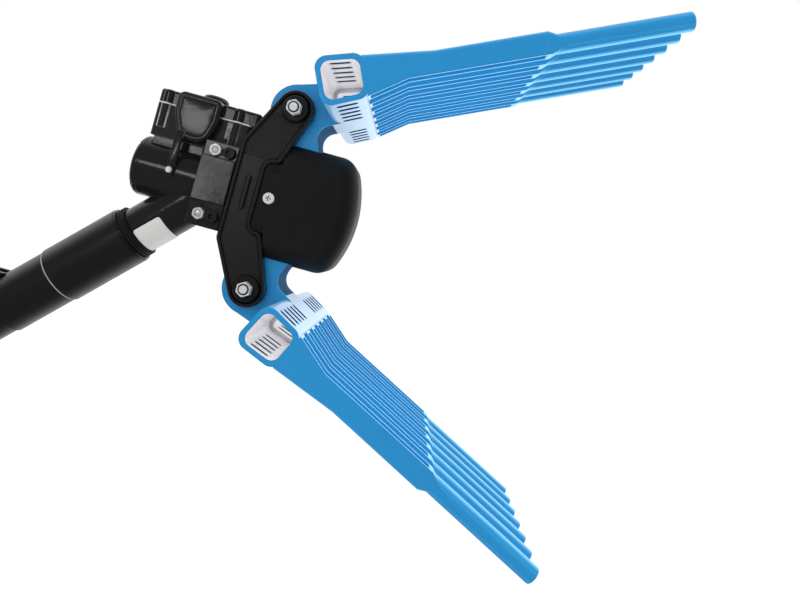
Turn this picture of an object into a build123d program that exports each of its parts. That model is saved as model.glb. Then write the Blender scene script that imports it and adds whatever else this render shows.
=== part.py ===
"""Pneumatic olive harvester: two combs on an air-cylinder head, on a short pole with a hand valve.

Millimetres. +X runs along the head towards the comb tips, +Y along the comb pivots, +Z up.
The origin is the centre of the pole's rear end. Head places are counted from the point midway
between the two comb pivots, pole places from the point where the pole meets the head axis.
"""

import os
from math import cos, radians, sin, sqrt

from build123d import *

# Clearances
running_gap = 0.05
free_gap = 0.3
seat_gap = 0.02
bolt_gap = 0.15
cut_over = 1.0

# Pole and head layout
pole_angle = 45.0
pole_length = 350.0
pole_meets_head = -47.0
pivot_half = 68.0

# Comb motion and drive
upper_angle = 25.0
lower_angle = 27.0
swing = 33.0
stroke = 31.0
pin_open = 24.0
pin_half = 16.0
pin_radius = 4.5
pin_slot_gap = 0.25

# Comb base tunnel and arm
base_rear = 23.5
base_length = 33.0
base_inner = -14.4
base_height = 31.2
base_wall = 3.6
base_corner = 8.0
base_outer_rise = 2.6
base_inner_rise = 1.5
tunnel_corner = 6.0
rib_thickness = 4.0
rib_depth = 3.0
slot_rows = 5
slot_pitch = 12.0
slot_first = 24.0
slot_length = 15.0
slot_width = 5.2
arm_width = 38.0
arm_radius = 20.0
arm_fillet = 11.0
lever_hub = 12.0
lever_width = 30.0
lever_wall = 4.0
lever_thin_from = 33.0

# Comb teeth
tooth_count = 7
tooth_pitch = 25.0
tooth_width = 12.5
tooth_reach = 274.0
root_top = 16.0
root_bottom = -12.0
blade_top = 11.0
blade_bottom = -4.8
blade_thin_top = 103.0
blade_thin_bottom = 83.0
blade_end = 178.0
blade_taper = 10.0
blade_round = 3.5
channel_rim = 2.0
channel_web = 3.5
tine_radius = 6.5
tine_centre = 2.35
tine_round = 1.6

# Comb pivots
bolt_radius = 3.0
bolt_head = 4.0
nut_flats = 10.0
nut_height = 6.0
bolt_end = 0.6
washer_radius = 9.5
washer_thickness = 2.0
sleeve_radius = 6.0
bush_wall = 2.5
bush_length = 13.0
bush_proud = 0.2

# Side plates
arm_side_gap = 0.5
plate_thickness = 8.5
plate_rear = -31.0
plate_waist = 36.0
plate_end_radius = 13.7
plate_front = -10.0
plate_notch = 26.0
plate_shoulder = 0.5
waist_round = 6.0
shoulder_round = 4.0
notch_round = 6.0
rim_width = 2.6
rim_height = 1.7
bead_round = 1.0
tongue_lap = 1.0
rib_place = -19.5
rib_length = 25.0
rib_width = 2.2
tongue_front = 4.0
tongue_depth = 4.0
tab_thickness = 4.5

# Clamp plates and flange fasteners
clamp_thickness = 4.0
clamp_shelf = 1.5
clamp_pad_low = -14.0
clamp_pad_high = 19.0
flange_hole_height = 24.0
hex_place = -48.0
screw_place = -38.0
m5_radius = 2.5
m5_flats = 8.0
m5_head = 4.0
m5_cap_radius = 4.25
m5_socket_flats = 4.0
cap_screw_length = 16.0

# Guard
guard_front = 62.6
guard_shoulder = 51.0
guard_half = 44.5
guard_inset = 1.5
guard_wall = 2.5
guard_corner = 15.0
guard_round = 13.0
guard_opening = 26.0
guard_opening_gap = 1.0
guard_screw_place = -1.5
guard_bump_height = 21.6
guard_bump_place = -3.0
guard_bump_radius = 2.2
guard_bump_rise = 0.8
m4_radius = 2.0
m4_head_radius = 4.2
m4_head = 2.6
m4_cross = 1.1

# Cylinder housing
barrel_radius = 23.0
bore_radius = 18.0
bore_front = -54.0
end_gap = 1.0
flange_rear = -57.0
flange_front = -32.0
flange_top = 30.0
flange_bottom = -33.0
pad_top = 23.5
pad_half = 15.0
neck_radius = 18.0
neck_end = 70.0
passage_radius = 5.0
passage_end = 42.0

# Rear cap
cap_thickness = 5.5
cap_spigot = 4.0
cap_round = 4.0
cap_screw_circle = 20.5
cap_screw_radius = 1.25
cap_screw_head = 2.1
cap_screw_sink = 3.6
cap_screw_head_height = 2.0
cap_screw_length = 9.0
ring_section = 1.8

# Piston and rod
piston_length = 12.0
seal_width = 2.5
seal_depth = 2.2
rod_radius = 6.0
rod_spigot_radius = 4.0
piston_nut_flats = 13.0
piston_nut_height = 5.0
guide_radius = 13.0
guide_length = 18.0
rod_seal_radius = 9.0
rod_seal_length = 4.0

# Crosshead
crosshead_thickness = 12.0
crosshead_length = 18.0
crosshead_margin = 8.0
crosshead_corner = 4.0
rod_pin_radius = 1.5
rod_pin_place = 5.0
clip_thickness = 1.0
clip_radius = 6.6

# Reversing valve
valve_rear = -102.5
valve_front = -30.0
valve_top = 48.0
valve_half = 17.0
valve_round = 3.0
post_radius = 5.0
post_rear = -95.5
post_front = -41.0
post_side = 14.0
gasket_thickness = 1.0
lid_top = 59.0
lid_front = -25.0
lid_round = 2.0
dome_place = -66.0
dome_radius = 10.0
dome_height = 6.0
dome_round = 4.0
lid_screw_radius = 1.5
lid_screw_head = 2.75
lid_screw_head_height = 3.0
lid_screw_length = 22.0
spool_height = 36.0
spool_radius = 6.0
spool_travel = 6.0
spool_groove = 1.6
spool_lands = 4
spool_land = 4.0
spool_plug_length = 6.0
port_radius = 1.8
port_rear = -88.0
port_front = -64.0
boss_place = -43.7
boss_level = 40.5
boss_length = 7.6
boss_height = 12.2
boss_corner = 0.8
boss_rise = 1.0

# Exhaust cover
cover_rear = -86.5
cover_front = -53.0
cover_top = 60.0
cover_side = 43.0
cover_tip = -68.8
cover_foot = 21.5
cover_bottom = 25.0
cover_tip_round = 11.0
cover_side_round = 7.0
cover_top_round = 5.0
cover_band = 55.0
cover_rim = 3.0
cover_sink = 1.4
strap_place = -77.5
strap_width = 5.6
strap_thickness = 2.6
strap_low = -4.0
strap_screw = 1.0
strap_screw_radius = 1.25
strap_screw_head = 2.4
strap_screw_head_height = 1.7
strap_screw_length = 5.0
silencer_width = 16.0
silencer_height = 13.0
silencer_depth = 3.0
silencer_place = -70.0
silencer_level = 47.0
exhaust_radius = 3.0

# Neck fittings and union
label_from = 46.5
label_length = 22.5
label_corner = 2.0
label_start = -96.0
label_sweep = 90.0
label_thickness = 0.5
spigot_radius = 17.0
spigot_end = 100.0
seal_band_end = 76.0
seal_band_radius = 20.3
seal_band_ridges = 3
seal_band_groove = 1.0
seal_band_slot = 0.8
ring_thickness = 1.4
ring_radius = 21.8
union_length = 61.5
union_radius = 22.25
union_bore = 20.2
union_lip = 6.0
union_round = 0.8
union_washer_thickness = 0.9
union_washer_radius = 21.7

# Grip and hand valve
body_length = 48.8
body_radius = 21.35
body_bore = 10.0
grip_radius = 20.0
grip_wall = 4.0
grip_socket = 24.0
pole_seat_radius = 19.0
pole_seat_length = 50.0
lug_place = 188.0
lug_height = 30.1
lug_radius = 4.5
lug_thickness = 4.0
lug_foot = 171.5
lever_pin_radius = 2.0
hub_width = 12.0
hand_lever_width = 18.0
hand_lever_thickness = 4.5
hand_lever_end = 290.0
hand_lever_lift = 37.0
plunger_place = 210.0
plunger_radius = 4.0
plunger_top = 26.0
plunger_foot = -4.0
cartridge_from = 194.0
cartridge_length = 36.0
cartridge_passage = 4.0
spring_floor = -12.0
spring_wire = 0.8
spring_turns = 4
plunger_seal_place = 9.0
plunger_seal_length = 2.0
plunger_seal_radius = 5.6

# Air inlet
plug_length = 22.0
plug_flange = 3.0
plug_flange_radius = 18.5
inlet_radius = 6.58
inlet_depth = 14.0
inlet_seal_place = 12.0

# Places that follow from the driving dimensions
pole_cos = cos(radians(pole_angle))
pole_sin = sin(radians(pole_angle))
head_x = pole_length * pole_cos - pole_meets_head
head_z = pole_length * pole_sin
bore_rear = bore_front - piston_length - stroke - 2 * end_gap
barrel_rear = bore_rear - cap_spigot
piston_front = bore_front - end_gap
piston_radius = bore_radius - running_gap
plate_inner = arm_width / 2 + arm_side_gap
plate_outer = plate_inner + plate_thickness
tab_outer = plate_inner + tab_thickness
clamp_outer = tab_outer + clamp_thickness
shelf_outer = tab_outer + clamp_shelf
tongue_face = plate_outer - tongue_depth
guard_width = 2 * (plate_outer - guard_inset)
base_front = base_rear + base_length
base_mid = base_rear + base_length / 2
base_width = (tooth_count - 1) * tooth_pitch + tooth_width
base_outer = base_inner + base_height
base_level = base_inner + base_height / 2
bush_radius = sleeve_radius + running_gap + bush_wall
slot_radius = pin_radius + pin_slot_gap
pin_reach = lever_width / 2 + free_gap + clip_thickness + seat_gap
fork_half = crosshead_thickness / 2 + free_gap
crosshead_half = pin_half + crosshead_margin
fork_from = pivot_half - crosshead_half - 2 * free_gap
union_from = seal_band_end + ring_thickness + 2 * seat_gap
union_to = union_from + union_length
body_from = union_to + union_washer_thickness + 2 * seat_gap
body_to = body_from + body_length
grip_from = body_to - grip_socket
grip_bore = grip_radius - grip_wall
strap_inner = barrel_radius + 2 * free_gap
strap_outer = strap_inner + strap_thickness
cover_face = strap_inner + strap_thickness / 2


def head_side(depth=0.0):
    """Plane along the head at the given depth, seen from the near side, counted from the pivots' midpoint."""
    return Plane(origin=(head_x, depth, head_z), x_dir=(1, 0, 0), z_dir=(0, -1, 0))


def head_level(height):
    """Level plane above the head axis, with +Y as its second direction."""
    return Plane(origin=(head_x, 0, head_z + height), x_dir=(1, 0, 0), z_dir=(0, 0, 1))


def across_head(place):
    """Plane across the head axis, facing the comb tips, with +Y and +Z as its directions."""
    return Plane(origin=(head_x + place, 0, head_z), x_dir=(0, 1, 0), z_dir=(1, 0, 0))


def pole_point(place, height=0.0):
    """Point at a distance from the head axis down the pole and a height off its upper side."""
    along = pole_length - place
    return (along * pole_cos - height * pole_sin, 0, along * pole_sin + height * pole_cos)


def across_pole(place):
    """Plane across the pole, facing its rear end, with its second direction towards the lever side."""
    return Plane(origin=pole_point(place), x_dir=(0, -1, 0), z_dir=(-pole_cos, 0, -pole_sin))


def pole_side(depth=0.0):
    """Plane along the pole: first direction rearwards from the head axis, second towards the lever side."""
    middle = Vector(pole_point(0)) + Vector(0, depth, 0)
    return Plane(origin=middle, x_dir=(-pole_cos, 0, -pole_sin), z_dir=(0, 1, 0))


def over_pole(place, height):
    """Plane that looks out of the pole towards the lever side, at a place along it."""
    return Plane(origin=pole_point(place, height), x_dir=(0, 1, 0), z_dir=(-pole_sin, 0, pole_cos))


def pin_in_comb(angle, share):
    """Drive pin seen from a comb that rests at the given angle, after a share of the closing stroke."""
    turn = radians(angle - swing * share)
    along = pin_open - stroke * share
    level = pin_half - pivot_half
    return (along * cos(turn) + level * sin(turn), level * cos(turn) - along * sin(turn))


def finish(builder, name):
    """Labels a finished piece and writes it."""
    builder.part.label = name
    export_step(builder.part, f"parts/{name}.step")


os.makedirs("parts", exist_ok=True)

# Comb tooth, lying along +X with its outer side up
with BuildPart() as tooth:
    root = base_front - base_wall / 2
    taper_end = blade_end + blade_taper
    with BuildSketch(Plane.XZ):
        with BuildLine():
            Polyline(
                (root, root_bottom),
                (blade_thin_bottom, blade_bottom),
                (blade_end, blade_bottom),
                (taper_end, tine_centre - tine_radius / 2),
                (taper_end, tine_centre + tine_radius / 2),
                (blade_end, blade_top),
                (blade_thin_top, blade_top),
                (root, root_top),
                close=True,
            )
        make_face()
    extrude(amount=tooth_width / 2, both=True)
    running_edges = tooth.edges().filter_by(Axis.Y, reverse=True)
    long_edges = running_edges.filter_by_position(Axis.X, root + cut_over, taper_end - cut_over)
    fillet(long_edges.filter_by_position(Axis.Z, tine_centre, root_top), blade_round)
    with BuildSketch(Plane.YZ.offset(blade_end)):
        with Locations((0, tine_centre)):
            Circle(tine_radius)
    extrude(amount=tooth_reach - blade_end)
    fillet(tooth.edges().group_by(Axis.X)[-1], tine_round)
    with BuildSketch(Plane.XZ):
        with BuildLine():
            Polyline(
                (base_front, root_bottom - cut_over),
                (blade_end - channel_web, root_bottom - cut_over),
                (blade_end - channel_web, blade_bottom + channel_rim),
                (blade_end - blade_taper - channel_web, blade_top - channel_web),
                (blade_thin_top, blade_top - channel_web),
                (base_front, root_top - channel_web),
                close=True,
            )
        make_face()
    extrude(amount=tooth_width / 2 - channel_rim, both=True, mode=Mode.SUBTRACT)


def base_corners(wall):
    """Corners of a comb base, inset by a wall: its outer side rises to the rear, its inner side to the front."""
    return (
        (base_rear + wall, base_inner + wall),
        (base_front - wall, base_inner + base_inner_rise + wall),
        (base_front - wall, base_outer - wall),
        (base_rear + wall, base_outer + base_outer_rise - wall),
    )


def build_comb(angle):
    """Comb with its pivot at the origin and its teeth along +X, shaped to rest at the given angle."""
    slot_end = pin_in_comb(angle, 0)
    with BuildPart() as comb:
        with BuildSketch(Plane.XZ):
            with BuildLine():
                Polyline(*base_corners(0), close=True)
            make_face()
            fillet(vertices(), base_corner)
        extrude(amount=base_width / 2, both=True)
        with BuildSketch(Plane.XZ):
            Circle(arm_radius)
            with Locations((0, base_inner - arm_radius)):
                Rectangle(2 * arm_radius, 2 * arm_radius, mode=Mode.SUBTRACT)
        extrude(amount=arm_width / 2, both=True)
        with BuildSketch(Plane.XZ):
            Circle(lever_hub)
            with Locations(slot_end):
                Circle(slot_radius + lever_wall)
            make_hull()
            with BuildLine():
                Polyline(
                    (0, arm_radius),
                    (base_rear + base_wall, arm_radius - base_wall),
                    (base_front - base_corner, base_level),
                    (base_front - base_corner, base_inner + base_inner_rise * (1 - base_corner / base_length)),
                    (base_rear, base_inner),
                    (0, base_inner),
                    close=True,
                )
            make_face()
            fillet(vertices().sort_by_distance((lever_hub, base_inner, 0))[0], arm_fillet)
        extrude(amount=arm_width / 2, both=True)
        with BuildSketch(Plane.XZ):
            with BuildLine():
                Polyline(*base_corners(base_wall), close=True)
            make_face()
            fillet(vertices(), tunnel_corner)
        extrude(amount=base_width / 2, both=True, mode=Mode.SUBTRACT)
        with BuildSketch(Plane.XZ):
            with BuildLine():
                Polyline(*base_corners(base_wall / 2), close=True)
            make_face()
            fillet(vertices(), base_corner - base_wall / 2)
        extrude(amount=rib_thickness / 2, both=True)
        with BuildSketch(Plane.XZ):
            with BuildLine():
                Polyline(*base_corners(base_wall + rib_depth), close=True)
            make_face()
            fillet(vertices(), tunnel_corner - rib_depth)
        extrude(amount=rib_thickness / 2, both=True, mode=Mode.SUBTRACT)
        with BuildSketch(Plane.XY):
            for row in range(slot_rows):
                with Locations(*((base_mid, side * (slot_first + row * slot_pitch)) for side in (-1, 1))):
                    SlotOverall(slot_length, slot_width)
        extrude(amount=base_height, both=True, mode=Mode.SUBTRACT)
        for row in range(tooth_count):
            add(tooth.part.moved(Location((0, (row - (tooth_count - 1) / 2) * tooth_pitch, 0))))
        thin_depth = (arm_width - lever_width) / 2
        with BuildSketch(Plane.XY.offset(-lever_thin_from)):
            with Locations(*((0, side * (arm_width - thin_depth) / 2) for side in (-1, 1))):
                Rectangle(2 * pivot_half, thin_depth)
        extrude(amount=-pivot_half, mode=Mode.SUBTRACT)
        with BuildSketch(Plane.XY.offset(-fork_from)):
            Rectangle(2 * pivot_half, 2 * fork_half)
        extrude(amount=-pivot_half, mode=Mode.SUBTRACT)
        with BuildSketch(Plane.XZ):
            for share in (0, 0.2, 0.4, 0.6, 0.8, 1):
                with Locations(pin_in_comb(angle, share)):
                    Circle(slot_radius)
            make_hull()
        extrude(amount=arm_width, both=True, mode=Mode.SUBTRACT)
        with BuildSketch(Plane.XZ):
            Circle(bush_radius + seat_gap)
        extrude(amount=arm_width, both=True, mode=Mode.SUBTRACT)
    return comb.part.moved(Location((head_x, 0, head_z + pivot_half), (0, -angle, 0)))


with BuildPart() as upper_comb:
    add(build_comb(upper_angle))
finish(upper_comb, "upper_comb")

with BuildPart() as lower_comb:
    mirror(build_comb(lower_angle), about=head_level(0))
finish(lower_comb, "lower_comb")

# Bushes pressed into both ends of each comb's pivot hole
with BuildPart() as upper_bushes:
    bush_start = arm_width / 2 + bush_proud
    for side in (-1, 1):
        with BuildSketch(head_side(side * bush_start)):
            with Locations((0, pivot_half)):
                Circle(bush_radius)
                Circle(sleeve_radius + running_gap, mode=Mode.SUBTRACT)
        extrude(amount=side * bush_length)
finish(upper_bushes, "upper_bushes")

with BuildPart() as lower_bushes:
    mirror(upper_bushes.part, about=head_level(0))
finish(lower_bushes, "lower_bushes")

# Steel sleeves clamped between the side plates, on which the combs turn
with BuildPart() as pivot_sleeves:
    with BuildSketch(head_side()):
        with Locations((0, pivot_half), (0, -pivot_half)):
            Circle(sleeve_radius)
            Circle(bolt_radius + seat_gap, mode=Mode.SUBTRACT)
    extrude(amount=plate_inner - seat_gap, both=True)
finish(pivot_sleeves, "pivot_sleeves")

with BuildPart() as pivot_washers:
    for side in (-1, 1):
        with BuildSketch(head_side(side * (plate_outer + seat_gap))):
            with Locations((0, pivot_half), (0, -pivot_half)):
                Circle(washer_radius)
                Circle(bolt_radius + bolt_gap, mode=Mode.SUBTRACT)
        extrude(amount=-side * washer_thickness)
    rings = pivot_washers.edges().filter_by(GeomType.CIRCLE)
    rims = rings.filter_by(lambda edge: edge.radius > nut_flats / 2)
    chamfer(rims.group_by(Axis.Y)[0] + rims.group_by(Axis.Y)[-1], washer_thickness / 4)
finish(pivot_washers, "pivot_washers")

nut_face = plate_outer + washer_thickness + 2 * seat_gap
with BuildPart() as pivot_bolts:
    with BuildSketch(head_side(nut_face)):
        with Locations((0, pivot_half), (0, -pivot_half)):
            Circle(bolt_radius)
    extrude(amount=2 * nut_face + nut_height + bolt_end)
    chamfer(pivot_bolts.edges().group_by(Axis.Y)[0], bolt_end / 2)
    with BuildSketch(head_side(nut_face)):
        with Locations((0, pivot_half), (0, -pivot_half)):
            RegularPolygon(nut_flats / 2, 6, major_radius=False)
    extrude(amount=-bolt_head)
finish(pivot_bolts, "pivot_bolts")

with BuildPart() as pivot_nuts:
    with BuildSketch(head_side(-nut_face)):
        with Locations((0, pivot_half), (0, -pivot_half)):
            RegularPolygon(nut_flats / 2, 6, major_radius=False)
            Circle(bolt_radius + seat_gap, mode=Mode.SUBTRACT)
    extrude(amount=nut_height)
finish(pivot_nuts, "pivot_nuts")

# Near side plate: rimmed outer face, sunk tongue under the guard, thin tab under the clamp plate
with BuildPart() as side_plate_near:
    shoulder_place = plate_shoulder - shoulder_round
    for side in (1, -1):
        with BuildSketch(head_side(-plate_inner)):
            with Locations((0, side * pivot_half)):
                Circle(plate_end_radius)
            with Locations((plate_rear + waist_round, side * plate_waist)):
                Circle(waist_round)
            with Locations((shoulder_place, side * (plate_notch + shoulder_round))):
                Circle(shoulder_round)
            make_hull()
        extrude(amount=plate_thickness)
    with BuildSketch(head_side(-plate_inner)):
        with Locations(((plate_rear + shoulder_place) / 2, 0)):
            Rectangle(shoulder_place - plate_rear, 2 * plate_waist)
        with Locations((plate_end_radius, 0)):
            RectangleRounded(2 * (plate_end_radius - plate_front), 2 * plate_notch, notch_round, mode=Mode.SUBTRACT)
    extrude(amount=plate_thickness)
    with BuildSketch(head_side(-plate_inner)):
        with Locations(((plate_rear + tongue_front) / 2, 0)):
            Rectangle(tongue_front - plate_rear, 2 * (plate_notch + tongue_lap))
    extrude(amount=tongue_face - plate_inner)
    outer_face = side_plate_near.faces().sort_by(Axis.Y)[0]
    with BuildSketch(Plane(origin=(0, -plate_outer, 0), x_dir=(1, 0, 0), z_dir=(0, -1, 0))):
        add(outer_face)
        offset(amount=-rim_width, mode=Mode.REPLACE)
    extrude(amount=-rim_height, mode=Mode.SUBTRACT)
    fillet(side_plate_near.faces().sort_by(Axis.Y)[0].edges(), bead_round)
    with BuildSketch(head_side(-plate_outer + rim_height)):
        with Locations((0, pivot_half), (0, -pivot_half)):
            Circle(washer_radius)
        with Locations((rib_place, 0)):
            SlotOverall(rib_length, rib_width, rotation=90)
    extrude(amount=rim_height)
    with BuildSketch(head_side(-plate_inner)):
        with Locations(((flange_rear + plate_rear) / 2, (flange_top + flange_bottom) / 2)):
            Rectangle(plate_rear - flange_rear, flange_top - flange_bottom)
    extrude(amount=tab_thickness)
    with BuildSketch(head_side(-plate_inner)):
        with Locations((0, pivot_half), (0, -pivot_half)):
            Circle(bolt_radius + bolt_gap)
        for place in (hex_place, screw_place):
            with Locations((place, flange_hole_height), (place, -flange_hole_height)):
                Circle(m5_radius + bolt_gap)
        with Locations((guard_screw_place, 0)):
            Circle(m4_radius + seat_gap)
    extrude(amount=plate_thickness, mode=Mode.SUBTRACT)
finish(side_plate_near, "side_plate_near")

with BuildPart() as side_plate_far:
    mirror(side_plate_near.part, about=Plane.XZ)
finish(side_plate_far, "side_plate_far")

# Clamp plates over the tabs: a raised pad between two shelves for the fasteners
with BuildPart() as clamp_plate_near:
    with BuildSketch(head_side(-tab_outer - seat_gap)):
        with Locations(((flange_rear + flange_front) / 2, (flange_top + flange_bottom) / 2)):
            Rectangle(flange_front - flange_rear, flange_top - flange_bottom)
    extrude(amount=clamp_shelf - seat_gap)
    with BuildSketch(head_side(-shelf_outer)):
        with Locations(((flange_rear + flange_front) / 2, (clamp_pad_low + clamp_pad_high) / 2)):
            Rectangle(flange_front - flange_rear, clamp_pad_high - clamp_pad_low)
    extrude(amount=clamp_outer - shelf_outer)
    chamfer(clamp_plate_near.faces().sort_by(Axis.Y)[0].edges(), clamp_shelf / 3)
    with BuildSketch(head_side(-tab_outer)):
        for place in (hex_place, screw_place):
            with Locations((place, flange_hole_height), (place, -flange_hole_height)):
                Circle(m5_radius + bolt_gap)
    extrude(amount=clamp_thickness, mode=Mode.SUBTRACT)
finish(clamp_plate_near, "clamp_plate_near")

with BuildPart() as clamp_plate_far:
    mirror(clamp_plate_near.part, about=Plane.XZ)
finish(clamp_plate_far, "clamp_plate_far")

with BuildPart() as flange_bolts:
    head_face = shelf_outer + seat_gap
    with BuildSketch(head_side(head_face + m5_head)):
        with Locations((hex_place, flange_hole_height), (hex_place, -flange_hole_height)):
            Circle(m5_radius)
    extrude(amount=2 * head_face + m5_head)
    with BuildSketch(head_side(-head_face)):
        with Locations((hex_place, flange_hole_height), (hex_place, -flange_hole_height)):
            RegularPolygon(m5_flats / 2, 6, major_radius=False)
    extrude(amount=m5_head)
    chamfer(flange_bolts.faces().sort_by(Axis.Y)[0:2].edges(), m5_head / 10)
finish(flange_bolts, "flange_bolts")

with BuildPart() as flange_nuts:
    with BuildSketch(head_side(head_face)):
        with Locations((hex_place, flange_hole_height), (hex_place, -flange_hole_height)):
            RegularPolygon(m5_flats / 2, 6, major_radius=False)
            Circle(m5_radius + seat_gap, mode=Mode.SUBTRACT)
    extrude(amount=-m5_head)
finish(flange_nuts, "flange_nuts")

with BuildPart() as flange_screws:
    for side in (-1, 1):
        for level in (-flange_hole_height, flange_hole_height):
            with BuildSketch(head_side(side * head_face)):
                with Locations((screw_place, level)):
                    Circle(m5_radius)
            extrude(amount=side * cap_screw_length)
            with BuildSketch(head_side(side * head_face)):
                with Locations((screw_place, level)):
                    Circle(m5_cap_radius)
            extrude(amount=-side * m5_head)
            with BuildSketch(head_side(side * (head_face + m5_head))):
                with Locations((screw_place, level)):
                    RegularPolygon(m5_socket_flats / 2, 6, major_radius=False)
            extrude(amount=side * m5_head / 2, mode=Mode.SUBTRACT)
finish(flange_screws, "flange_screws")

# Hollow of the guard, a little smaller than the guard and open at the rear
with BuildPart() as guard_hollow:
    with BuildSketch(head_side()):
        with BuildLine():
            hollow_top = guard_half - guard_wall
            hollow_front = guard_front - guard_wall
            hollow_shoulder = guard_shoulder - guard_wall
            Line((plate_rear, hollow_top), (hollow_shoulder, hollow_top))
            ThreePointArc((hollow_shoulder, hollow_top), (hollow_front, 0), (hollow_shoulder, -hollow_top))
            Line((hollow_shoulder, -hollow_top), (plate_rear, -hollow_top))
            Line((plate_rear, -hollow_top), (plate_rear, hollow_top))
        make_face()
        fillet(vertices().group_by(Axis.X)[-1], guard_corner - guard_wall)
    extrude(amount=tongue_face + seat_gap, both=True)
    hollow_rim = guard_hollow.edges().group_by(Axis.Y)[0] + guard_hollow.edges().group_by(Axis.Y)[-1]
    hollow_ends = hollow_rim.filter_by_position(Axis.X, head_x - cut_over, head_x + guard_front)
    fillet(hollow_ends, guard_round - guard_wall)

# Guard over the drive, with one tab on each side plate and a way out for each comb arm
with BuildPart() as guard:
    guard_edge = plate_shoulder + 2 * free_gap
    guard_slant = (plate_end_radius - plate_shoulder) / (pivot_half - plate_notch - rim_width)
    with BuildSketch(head_side()):
        with BuildLine():
            upper_rear = guard_edge + guard_slant * (guard_half - plate_notch - rim_width)
            Polyline(
                (guard_shoulder, -guard_half),
                (upper_rear, -guard_half),
                (guard_edge, -plate_notch - rim_width),
                (guard_edge, plate_notch + rim_width),
                (upper_rear, guard_half),
                (guard_shoulder, guard_half),
            )
            ThreePointArc((guard_shoulder, guard_half), (guard_front, 0), (guard_shoulder, -guard_half))
        make_face()
        fillet(vertices().group_by(Axis.X)[-1], guard_corner)
    extrude(amount=guard_width / 2, both=True)
    guard_rim = guard.edges().group_by(Axis.Y)[0] + guard.edges().group_by(Axis.Y)[-1]
    guard_ends = guard_rim.filter_by_position(Axis.X, head_x + upper_rear + cut_over, head_x + guard_front)
    fillet(guard_ends, guard_round)
    add(guard_hollow.part, mode=Mode.SUBTRACT)
    for side in (-1, 1):
        with BuildSketch(head_side(side * guard_width / 2)):
            with BuildLine():
                tab_rear = plate_front + free_gap
                tab_half = plate_notch - free_gap
                Polyline(
                    (tab_rear, tab_half),
                    (guard_edge + 2 * guard_wall, tab_half),
                    (guard_edge + 2 * guard_wall, -tab_half),
                    (tab_rear, -tab_half),
                    close=True,
                )
            make_face()
            fillet(vertices().group_by(Axis.X)[0], notch_round - free_gap)
        extrude(amount=side * (guard_width / 2 - tongue_face - seat_gap))
        with BuildSketch(head_side(side * guard_width / 2)):
            with Locations((guard_bump_place, guard_bump_height), (guard_bump_place, -guard_bump_height)):
                Circle(guard_bump_radius)
        extrude(amount=-side * guard_bump_rise)
    with BuildSketch(head_level(guard_half)):
        with Locations((guard_opening / 2, 0)):
            Rectangle(guard_opening, arm_width + 2 * guard_opening_gap)
    extrude(amount=3 * guard_wall, both=True, mode=Mode.SUBTRACT)
    with BuildSketch(head_level(-guard_half)):
        with Locations((guard_opening / 2, 0)):
            Rectangle(guard_opening, arm_width + 2 * guard_opening_gap)
    extrude(amount=3 * guard_wall, both=True, mode=Mode.SUBTRACT)
    with BuildSketch(head_side()):
        with Locations((guard_screw_place, 0)):
            Circle(m4_radius + bolt_gap)
    extrude(amount=guard_width, both=True, mode=Mode.SUBTRACT)
finish(guard, "guard")

with BuildPart() as guard_screws:
    for side in (-1, 1):
        screw_seat = guard_width / 2 + seat_gap
        with BuildSketch(head_side(side * screw_seat)):
            with Locations((guard_screw_place, 0)):
                Circle(m4_head_radius)
        extrude(amount=-side * m4_head)
        with BuildSketch(head_side(side * screw_seat)):
            with Locations((guard_screw_place, 0)):
                Circle(m4_radius)
        extrude(amount=side * (screw_seat - plate_inner - free_gap))
    fillet(guard_screws.edges().group_by(Axis.Y)[0] + guard_screws.edges().group_by(Axis.Y)[-1], m4_head / 3)
    for side in (-1, 1):
        with BuildSketch(head_side(side * (screw_seat + m4_head))):
            with Locations((guard_screw_place, 0)):
                Rectangle(2 * m4_radius, m4_cross)
                Rectangle(m4_cross, 2 * m4_radius)
        extrude(amount=side * m4_head / 2, mode=Mode.SUBTRACT)
finish(guard_screws, "guard_screws")

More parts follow.
